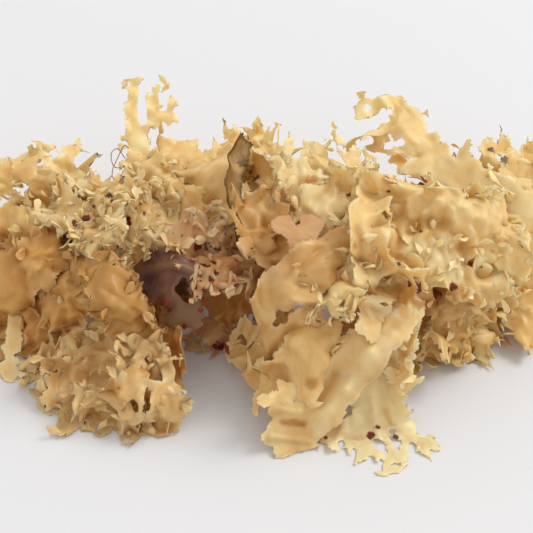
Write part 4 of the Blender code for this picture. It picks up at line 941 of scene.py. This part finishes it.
def spotted(points, places):
    """How strongly each point is stained by the spots around it."""
    stain = np.zeros(len(points))
    for x, y, z, radius in places:
        away = np.linalg.norm(points - (x, y, z), axis=1) / radius
        stain = np.maximum(stain, np.clip(STAIN_REACH - away, 0, 1))
    return stain


def kept_in_box(points):
    """Points that stand out of the solids' box, drawn back to just outside it."""
    low, high = (np.array(corner) / MM for corner in SOLID_BOX)
    over = np.maximum(points - high, 0) - np.maximum(low - points, 0)
    return points - over + OVERHANG * np.tanh(over / OVERHANG)


def thickened(points, quads, depth):
    """Both faces of the blade, with a fine rim between them, and the rim's own edges."""
    edges = np.concatenate([quads[:, [k, (k + 1) % 4]] for k in range(4)])
    key = np.sort(edges, axis=1) @ (len(points), 1)
    _, first, uses = np.unique(key, return_index=True, return_counts=True)
    rim = edges[first[uses == 1]]
    half = BLADE_THICKNESS / 2 * np.clip(RIM_SHARE + depth / RIM_WIDTH, 0, 1)
    offset = corner_normals(points, quads) * half[:, None]
    both = np.vstack([points + offset, points - offset])
    both[:, 2] = np.maximum(both[:, 2], 0.02)
    below = rim + len(points)
    wall = np.stack([rim[:, 1], rim[:, 0], below[:, 0], below[:, 1]], 1)
    faces = np.vstack([quads, quads[:, ::-1] + len(points), wall])
    return kept_in_box(both), faces, np.vstack([rim, below])


def with_sharp_rim(mesh, rim, count):
    """Keeps the light on both faces from bending round the rim."""
    ends = np.empty(2 * len(mesh.edges), np.int32)
    mesh.edges.foreach_get("vertices", ends)
    key = np.sort(ends.reshape(-1, 2), axis=1).astype(np.int64) @ (count, 1)
    sharp = np.isin(key, np.sort(rim, axis=1).astype(np.int64) @ (count, 1))
    mesh.attributes.new("sharp_edge", "BOOLEAN", "EDGE").data.foreach_set("value", sharp)


def frond_piece(frond):
    """The dressed frond: its blade and leaflets, as one thin closed piece."""
    finish = FINISHES.get(frond.name, USUAL_FINISH)
    count = finish[3]
    points, quads, marks = fine_blade(frond, finish)
    if count:
        rng = np.random.default_rng(frond.seed + 30)
        near_margin = np.flatnonzero(marks["depth"] < MARGIN_WIDTH)
        everywhere = np.arange(len(points))
        where = np.concatenate([near_margin, rng.choice(everywhere, len(near_margin) // 2 + 1)])
        for bare in SMOOTH.get(frond.name, ()):
            where = where[capsule(*in_picture(points[where]), (*bare, bare[-1])) > 0]
        normals = corner_normals(points, quads)
        more, more_quads, more_depth, roots = leaflets(rng, points[where], normals[where], count)
        quads = np.vstack([quads, more_quads + len(points)])
        points = np.vstack([points, more])
        paleness = rng.uniform(0, 1, count)
        of_leaflets = {"depth": more_depth, "share": np.ones(len(more)),
                       "lift": np.zeros(len(more)),
                       # Leaflets take part of the painted shade of the place they stand on.
                       "shut in": 0.55 * marks["shut in"][where[roots]],
                       "bleached": np.repeat(paleness, len(more) // count)}
        marks = {label: np.concatenate([marks[label], of_leaflets[label]]) for label in marks}
    points, quads, rim = thickened(points, quads, marks["depth"])
    marks = {label: np.tile(values, 2) for label, values in marks.items()}
    for label, places in stained_places.items():
        overall = np.maximum(marks.get(label, 0), TONES.get(label, {}).get(frond.name, 0))
        marks[label] = np.maximum(spotted(points, places), overall)
    piece = riding_piece(frond.name + "_dressed", points, quads.tolist(), frond.colour)
    for label, values in marks.items():
        piece.data.attributes.new(label, "FLOAT", "POINT").data.foreach_set("value", values)
    piece.data.shade_smooth()
    with_sharp_rim(piece.data, rim, len(points))
    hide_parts(frond.name)
    return piece


def riding_piece(name, points, faces, slot):
    """A piece of the moss from points in mm. It rides on the one body that there is."""
    mesh = bpy.data.meshes.new(name)
    mesh.from_pydata((points * MM).tolist(), [], faces)
    piece = bpy.data.objects.new(name, mesh)
    bpy.context.collection.objects.link(piece)
    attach(piece, "root")
    return piece


# The picture's width, and how far below its middle the target is seen, in mm.
PICTURE_WIDTH = 133.25
TARGET_BELOW_MIDDLE = 8.4

# Two fine threads beside the spire, as points of across, up and height, and their
# radius, in mm.
THREADS = (
    ((-35, 31, 30), (-37.5, 29.5, 30), (-38.6, 32, 31), (-37, 36, 32), (-35.6, 38.6, 33),
     (-34.4, 38, 33)),
    ((-35.4, 35.5, 31), (-37.2, 37.8, 32), (-38.8, 36.6, 32), (-38.2, 33.5, 31), (-36, 33, 30)),
)
THREAD_RADIUS = 0.13


class Wiring:
    """The nodes of one material or shared group, and short ways to add to them."""

    def __init__(self, tree):
        self.nodes, self.link = tree.nodes, tree.links.new

    def feed(self, node, values):
        """Sets inputs of a node to plain values, or links them to sockets."""
        for label, value in values.items():
            socket = node.inputs[label]
            if isinstance(value, bpy.types.NodeSocket):
                self.link(value, socket)
            else:
                socket.default_value = (*value, 1) if socket.type == "RGBA" else value
        return node

    def add(self, kind, values, **settings):
        node = self.nodes.new(kind)
        for label, value in settings.items():
            setattr(node, label, value)
        return self.feed(node, values)

    def mixed(self, share, first, second):
        """A colour mixed from two others by a share."""
        values = {"Factor": share, "A": first, "B": second}
        return self.add("ShaderNodeMix", values, data_type="RGBA").outputs["Result"]

    def stepped(self, value, low, high, most=1.0):
        """A mask that rises smoothly while a value goes from low to high."""
        values = {"Value": value, "From Min": low, "From Max": high, "To Max": most}
        made = self.add("ShaderNodeMapRange", values, interpolation_type="SMOOTHSTEP")
        return made.outputs["Result"]

    def counted(self, operation, first, second):
        """Two numbers added or multiplied."""
        values = {0: first, 1: second}
        return self.add("ShaderNodeMath", values, operation=operation).outputs["Value"]

    def mark(self, label):
        """A mark stored on the mesh."""
        return self.add("ShaderNodeAttribute", {}, attribute_name=label).outputs["Fac"]

    def noise(self, place, scale, detail, distortion=0.0):
        values = {"Vector": place, "Scale": scale, "Detail": detail, "Distortion": distortion}
        return self.add("ShaderNodeTexNoise", values).outputs["Fac"]


def new_material(name):
    material = bpy.data.materials.new(name)
    material.use_nodes = True
    wiring = Wiring(material.node_tree)
    return material, wiring, wiring.nodes["Principled BSDF"]


def new_group(name, inputs, outputs):
    """A shader node group: sockets with a number hold numbers, the others colours."""
    group = bpy.data.node_groups.new(name, "ShaderNodeTree")
    for sockets, side in ((inputs, "INPUT"), (outputs, "OUTPUT")):
        for label, value in sockets.items():
            kind = "NodeSocketColor" if value is None else "NodeSocketFloat"
            made = group.interface.new_socket(name=label, in_out=side, socket_type=kind)
            if value is not None:
                made.default_value = value
    wiring = Wiring(group)
    entry = wiring.nodes.new("NodeGroupInput").outputs
    place = wiring.nodes.new("ShaderNodeTexCoord").outputs["Object"]
    return group, wiring, entry, wiring.nodes.new("NodeGroupOutput"), place


# Inside is the colour of painted shade: for shut-in places, hollows and brown spots.
BLADE_COLOURS = ("Body", "Deep", "Pale", "Margin", "Inside", "Tip", "Spots")
BLADE_SHARES = {"Rim Share": 0.6, "Tip Share": 0.0, "Spot Share": 0.0, "Gloss": 0.34}
RED_STAIN = (0.22, 0.010, 0.006)
DARK_STAIN = (0.15, 0.075, 0.022)


def dried_blade_group():
    """The look of a dried blade: clouds and streaks, pale thin margins, stains and specks,
    painted shade where it is shut in, in hollows and at brown spots, and a painted highlight on
    ridges.
    """
    group, wiring, entry, leave, place = new_group(
        "dried blade", {**dict.fromkeys(BLADE_COLOURS), **BLADE_SHARES},
        {"Colour": None, "Roughness": 0.0, "Height": 0.0})
    noise, stepped, counted, mark = wiring.noise, wiring.stepped, wiring.counted, wiring.mark
    grain = noise(place, 1400.0, 4.0)
    streak = stepped(noise(place, 150.0, 5.0, 1.5), 0.45, 0.6)
    broad = counted("ADD", noise(place, 170.0, 2.0), -0.5)
    crisp = counted("ADD", noise(place, 900.0, 3.0), -0.5)
    specks = wiring.add("ShaderNodeTexVoronoi", {"Vector": place, "Scale": 420.0})
    patch = counted("MULTIPLY", stepped(specks.outputs["Distance"], 0.22, 0.12), streak)
    near_margin = wiring.add("ShaderNodeMapRange", {"Value": mark("depth"), "From Max": 0.9,
                                                    "To Min": 1.0, "To Max": 0.0})
    # Painted shade for hollows, where the lift goes away from the viewer.
    hollow_shade = counted("MULTIPLY", mark("lift"), -1.0)
    tip = stepped(mark("share"), 0.35, 0.85)

    def stained(label, unevenness, amount, low, high, most):
        uneven = counted("MULTIPLY", unevenness, amount)
        return stepped(counted("ADD", mark(label), uneven), low, high, most)

    colour = wiring.mixed(stepped(noise(place, 140.0, 3.0), 0.38, 0.62), entry["Body"],
                          entry["Deep"])
    for share, over in (
            (counted("MULTIPLY", streak, 0.35), entry["Pale"]),
            (stained("bleached", broad, 1.0, 0.1, 0.9, 0.6), entry["Margin"]),
            # Painted highlight: ridges lifted towards the viewer turn paler.
            (stepped(mark("lift"), 0.2, 1.5, 0.5), entry["Pale"]),
            (counted("MULTIPLY", near_margin.outputs["Result"], entry["Rim Share"]),
             entry["Margin"]),
            # Painted shade where other blades shut a place in.
            (stepped(mark("shut in"), 0.3, 0.95, 0.9), entry["Inside"]),
            # Painted shade in hollows.
            (stepped(hollow_shade, 0.2, 1.8, 0.55), entry["Inside"]),
            # Brown spots and tones: painted shade, partly the frond's browner tone.
            (stained("brown", broad, 1.0, 0.1, 1.1, 0.85), entry["Inside"]),
            (counted("MULTIPLY", tip, entry["Tip Share"]), entry["Tip"]),
            (stained("red", crisp, 1.6, 0.5, 0.85, 0.95), RED_STAIN),
            (stained("dark", crisp, 1.6, 0.55, 0.9, 0.85), DARK_STAIN),
            (counted("MULTIPLY", patch, entry["Spot Share"]), entry["Spots"])):
        colour = wiring.mixed(share, colour, over)
    roughness = counted("ADD", counted("MULTIPLY", grain, 0.22), entry["Gloss"])
    wiring.feed(leave, {"Colour": colour, "Roughness": roughness, "Height": grain})
    return group


def uneven_tone_group():
    """A tone that wanders between two colours within a millimetre or so."""
    group, wiring, entry, leave, place = new_group(
        "uneven tone", {"Dark": None, "Light": None}, {"Colour": None})
    share = wiring.stepped(wiring.noise(place, 900.0, 2.0), 0.35, 0.65)
    wiring.feed(leave, {"Colour": wiring.mixed(share, entry["Dark"], entry["Light"])})
    return group


def uneven_material(name, group, dark, light, roughness):
    """A plain dull finish in an uneven tone."""
    material, wiring, surface = new_material(name)
    tone = wiring.add("ShaderNodeGroup", {"Dark": dark, "Light": light}, node_tree=group)
    wiring.feed(surface, {"Base Color": tone.outputs["Colour"], "Roughness": roughness})
    return material


CRUMB_SEED = 77
CRUMB_FACES = ((0, 1, 2), (0, 2, 3), (0, 3, 4), (0, 4, 1),
               (5, 2, 1), (5, 3, 2), (5, 4, 3), (5, 1, 4))


def dirt(places):
    """Small dark crumbs of dried sea dirt, caught on the blades."""
    rng = np.random.default_rng(CRUMB_SEED)
    points, faces = [], []
    for x, y, z, radius in places:
        for _ in range(int(2 + 3 * radius)):
            middle = np.array([x, y, z]) + rng.normal(0, 0.6 * radius, 3) + 0.3 * TO_VIEWER
            reach = rng.uniform(0.12, 0.34) * min(radius, 1.2)
            corner = rng.normal(size=(6, 3))
            first = len(points)
            points += list(middle + corner / np.linalg.norm(corner, axis=1)[:, None] * reach)
            faces += [tuple(first + k for k in trio) for trio in CRUMB_FACES]
    return np.array(points), faces


def thread(way, radius, sides=5):
    """A thin round thread through the points of a way."""
    way = smooth_curve([seen(*point) for point in way])[::6] - HEAP_CENTRE
    ahead = unit(np.gradient(way, axis=0))
    across = unit(np.cross(ahead, TO_VIEWER))
    up = np.cross(across, ahead)
    turn = np.linspace(0, 2 * math.pi, sides, endpoint=False)
    ring = np.cos(turn)[:, None, None] * across + np.sin(turn)[:, None, None] * up
    points = (way + radius * ring).transpose(1, 0, 2).reshape(-1, 3)
    faces = []
    for a in range(0, (len(way) - 1) * sides, sides):
        for k in range(sides):
            after = (k + 1) % sides
            faces.append((a + k, a + after, a + sides + after, a + sides + k))
    return points, faces


def blade_material(name, look, group):
    """A dried, leathery, light-passing blade."""
    material, wiring, surface = new_material(name)
    colours = {label: look.get(label.lower(), look["body"]) for label in BLADE_COLOURS}
    shares = {"Rim Share": look.get("rim", BLADE_SHARES["Rim Share"]),
              "Tip Share": float("tip" in look), "Spot Share": float("spots" in look),
              "Gloss": look.get("gloss", BLADE_SHARES["Gloss"])}
    blade = wiring.add("ShaderNodeGroup", {}, node_tree=group)
    colour = wiring.feed(blade, {**colours, **shares}).outputs["Colour"]
    bump = wiring.add("ShaderNodeBump", {"Strength": 0.35, "Distance": 0.12 * MM,
                                         "Height": blade.outputs["Height"]}).outputs["Normal"]
    passing = wiring.add("ShaderNodeBsdfTranslucent", {"Color": colour, "Normal": bump})
    wiring.feed(surface, {
        "Base Color": colour, "Roughness": blade.outputs["Roughness"], "Normal": bump,
        "Subsurface Weight": 0.35, "Subsurface Radius": (0.75, 0.72, 0.62),
        "Subsurface Scale": 0.4 * MM, "Specular IOR Level": 0.4,
        "Coat Weight": look.get("coat", 0.25), "Coat Roughness": 0.18})
    both = wiring.add("ShaderNodeMixShader", {
        "Fac": look.get("thin", 0.42), 1: surface.outputs["BSDF"], 2: passing.outputs["BSDF"]})
    wiring.feed(wiring.nodes["Material Output"], {"Surface": both.outputs["Shader"]})
    return material


# Each look's inside colour is its painted shade.
LOOKS = {
    "blond": dict(body=(0.95, 0.76, 0.37), deep=(0.93, 0.70, 0.31), pale=(0.97, 0.85, 0.51),
                  margin=(0.99, 0.91, 0.61), inside=(0.70, 0.38, 0.09)),
    "tan": dict(body=(0.92, 0.67, 0.27), deep=(0.88, 0.60, 0.20), pale=(0.95, 0.75, 0.38),
                margin=(0.98, 0.87, 0.51), inside=(0.62, 0.32, 0.07)),
    "amber": dict(body=(0.88, 0.56, 0.17), deep=(0.83, 0.47, 0.12), pale=(0.92, 0.66, 0.27),
                  margin=(0.96, 0.79, 0.42), inside=(0.61, 0.28, 0.06)),
    "olive": dict(body=(0.93, 0.72, 0.33), deep=(0.88, 0.65, 0.26), pale=(0.96, 0.83, 0.48),
                  margin=(0.99, 0.91, 0.61), inside=(0.68, 0.39, 0.10)),
    "umber": dict(body=(0.46, 0.27, 0.08), deep=(0.32, 0.17, 0.05), pale=(0.70, 0.47, 0.17),
                  margin=(0.11, 0.045, 0.01), inside=(0.28, 0.13, 0.03), rim=0.95, thin=0.2,
                  gloss=0.46, coat=0.05),
    "rose": dict(body=(0.76, 0.53, 0.23), deep=(0.76, 0.48, 0.21), pale=(0.84, 0.64, 0.32),
                 margin=(0.78, 0.44, 0.27), inside=(0.62, 0.34, 0.12), rim=0.5),
    "plum": dict(body=(0.14, 0.040, 0.020), deep=(0.075, 0.018, 0.014), pale=(0.27, 0.14, 0.06),
                 margin=(0.30, 0.09, 0.06), inside=(0.10, 0.03, 0.02), rim=0.3, gloss=0.40,
                 coat=0.1, thin=0.1, tip=(0.22, 0.11, 0.045)),
    "garnet": dict(body=(0.92, 0.66, 0.30), deep=(0.86, 0.50, 0.20), pale=(0.96, 0.79, 0.45),
                   margin=(0.99, 0.88, 0.58), inside=(0.52, 0.22, 0.07), spots=(0.42, 0.03, 0.03)),
}


# The studio, in metres and watts: the table, the light of the room, and a lamp that stands
# behind on the right.
TABLE_SIZE = 6
TABLE_COLOUR = (0.68, 0.685, 0.70)
ROOM_COLOUR = (1.0, 0.975, 0.95)
ROOM_LIGHT = 0.88
KEY_PLACE = (1.4, 0.5, 1.75)
KEY_SIZE = 1.0
KEY_POWER = 29.0
KEY_TINT = (0.98, 0.99, 1.0)
SENSOR_WIDTH = 36


def studio():
    """A pale table, soft light from above and behind on the right, and the camera."""
    bpy.ops.mesh.primitive_plane_add(size=TABLE_SIZE)
    floor = bpy.context.object
    floor.name = "pale_table"
    material, wiring, surface = new_material("pale table")
    wiring.feed(surface, {"Base Color": TABLE_COLOUR, "Roughness": 0.7, "Specular IOR Level": 0.2})
    floor.data.materials.append(material)
    world = bpy.data.worlds.new("soft room")
    bpy.context.scene.world = world
    world.use_nodes = True
    room = Wiring(world.node_tree)
    room.feed(room.nodes["Background"], {"Color": ROOM_COLOUR, "Strength": ROOM_LIGHT})
    lamp = bpy.data.lights.new("key", "AREA")
    lamp.size, lamp.energy, lamp.color = KEY_SIZE, KEY_POWER, KEY_TINT
    key = bpy.data.objects.new("key", lamp)
    key.location = KEY_PLACE
    key.rotation_mode = "QUATERNION"
    key.rotation_quaternion = (-Vector(KEY_PLACE)).to_track_quat("-Z", "Y")
    bpy.context.collection.objects.link(key)
    lens = bpy.data.cameras.new("camera")
    lens.sensor_width = SENSOR_WIDTH
    lens.lens = SENSOR_WIDTH * VIEW_DISTANCE / PICTURE_WIDTH
    lens.shift_y = TARGET_BELOW_MIDDLE / PICTURE_WIDTH
    camera = bpy.data.objects.new("camera", lens)
    camera.location = (EYE - HEAP_CENTRE) * MM
    camera.rotation_euler = (math.pi / 2 - VIEW_ELEVATION, 0, 0)
    bpy.context.collection.objects.link(camera)
    bpy.context.scene.camera = camera
    bpy.context.scene.view_settings.view_transform = "Standard"


all_of_it = all_solids()
stained_places = {label: where_seen(spots, all_of_it) for label, spots in STAINS.items()}
dried_blade = dried_blade_group()
materials = {name: blade_material(name, look, dried_blade) for name, look in LOOKS.items()}
for frond in FRONDS:
    frond_piece(frond).data.materials.append(materials[frond.colour])
crumbs, crumb_faces = dirt(stained_places["dark"])
uneven_tone = uneven_tone_group()
dried_dirt = uneven_material("dried dirt", uneven_tone, (0.04, 0.026, 0.014),
                             (0.12, 0.075, 0.04), 0.8)
riding_piece("dirt_crumbs", crumbs, crumb_faces, "umber").data.materials.append(dried_dirt)
dark_thread = uneven_material("dark red thread", uneven_tone, (0.16, 0.05, 0.04),
                              (0.32, 0.13, 0.10), 0.5)
for number, way in enumerate(THREADS):
    strand = riding_piece(f"thread_{number}", *thread(way, THREAD_RADIUS), "umber")
    strand.data.materials.append(dark_thread)
studio()
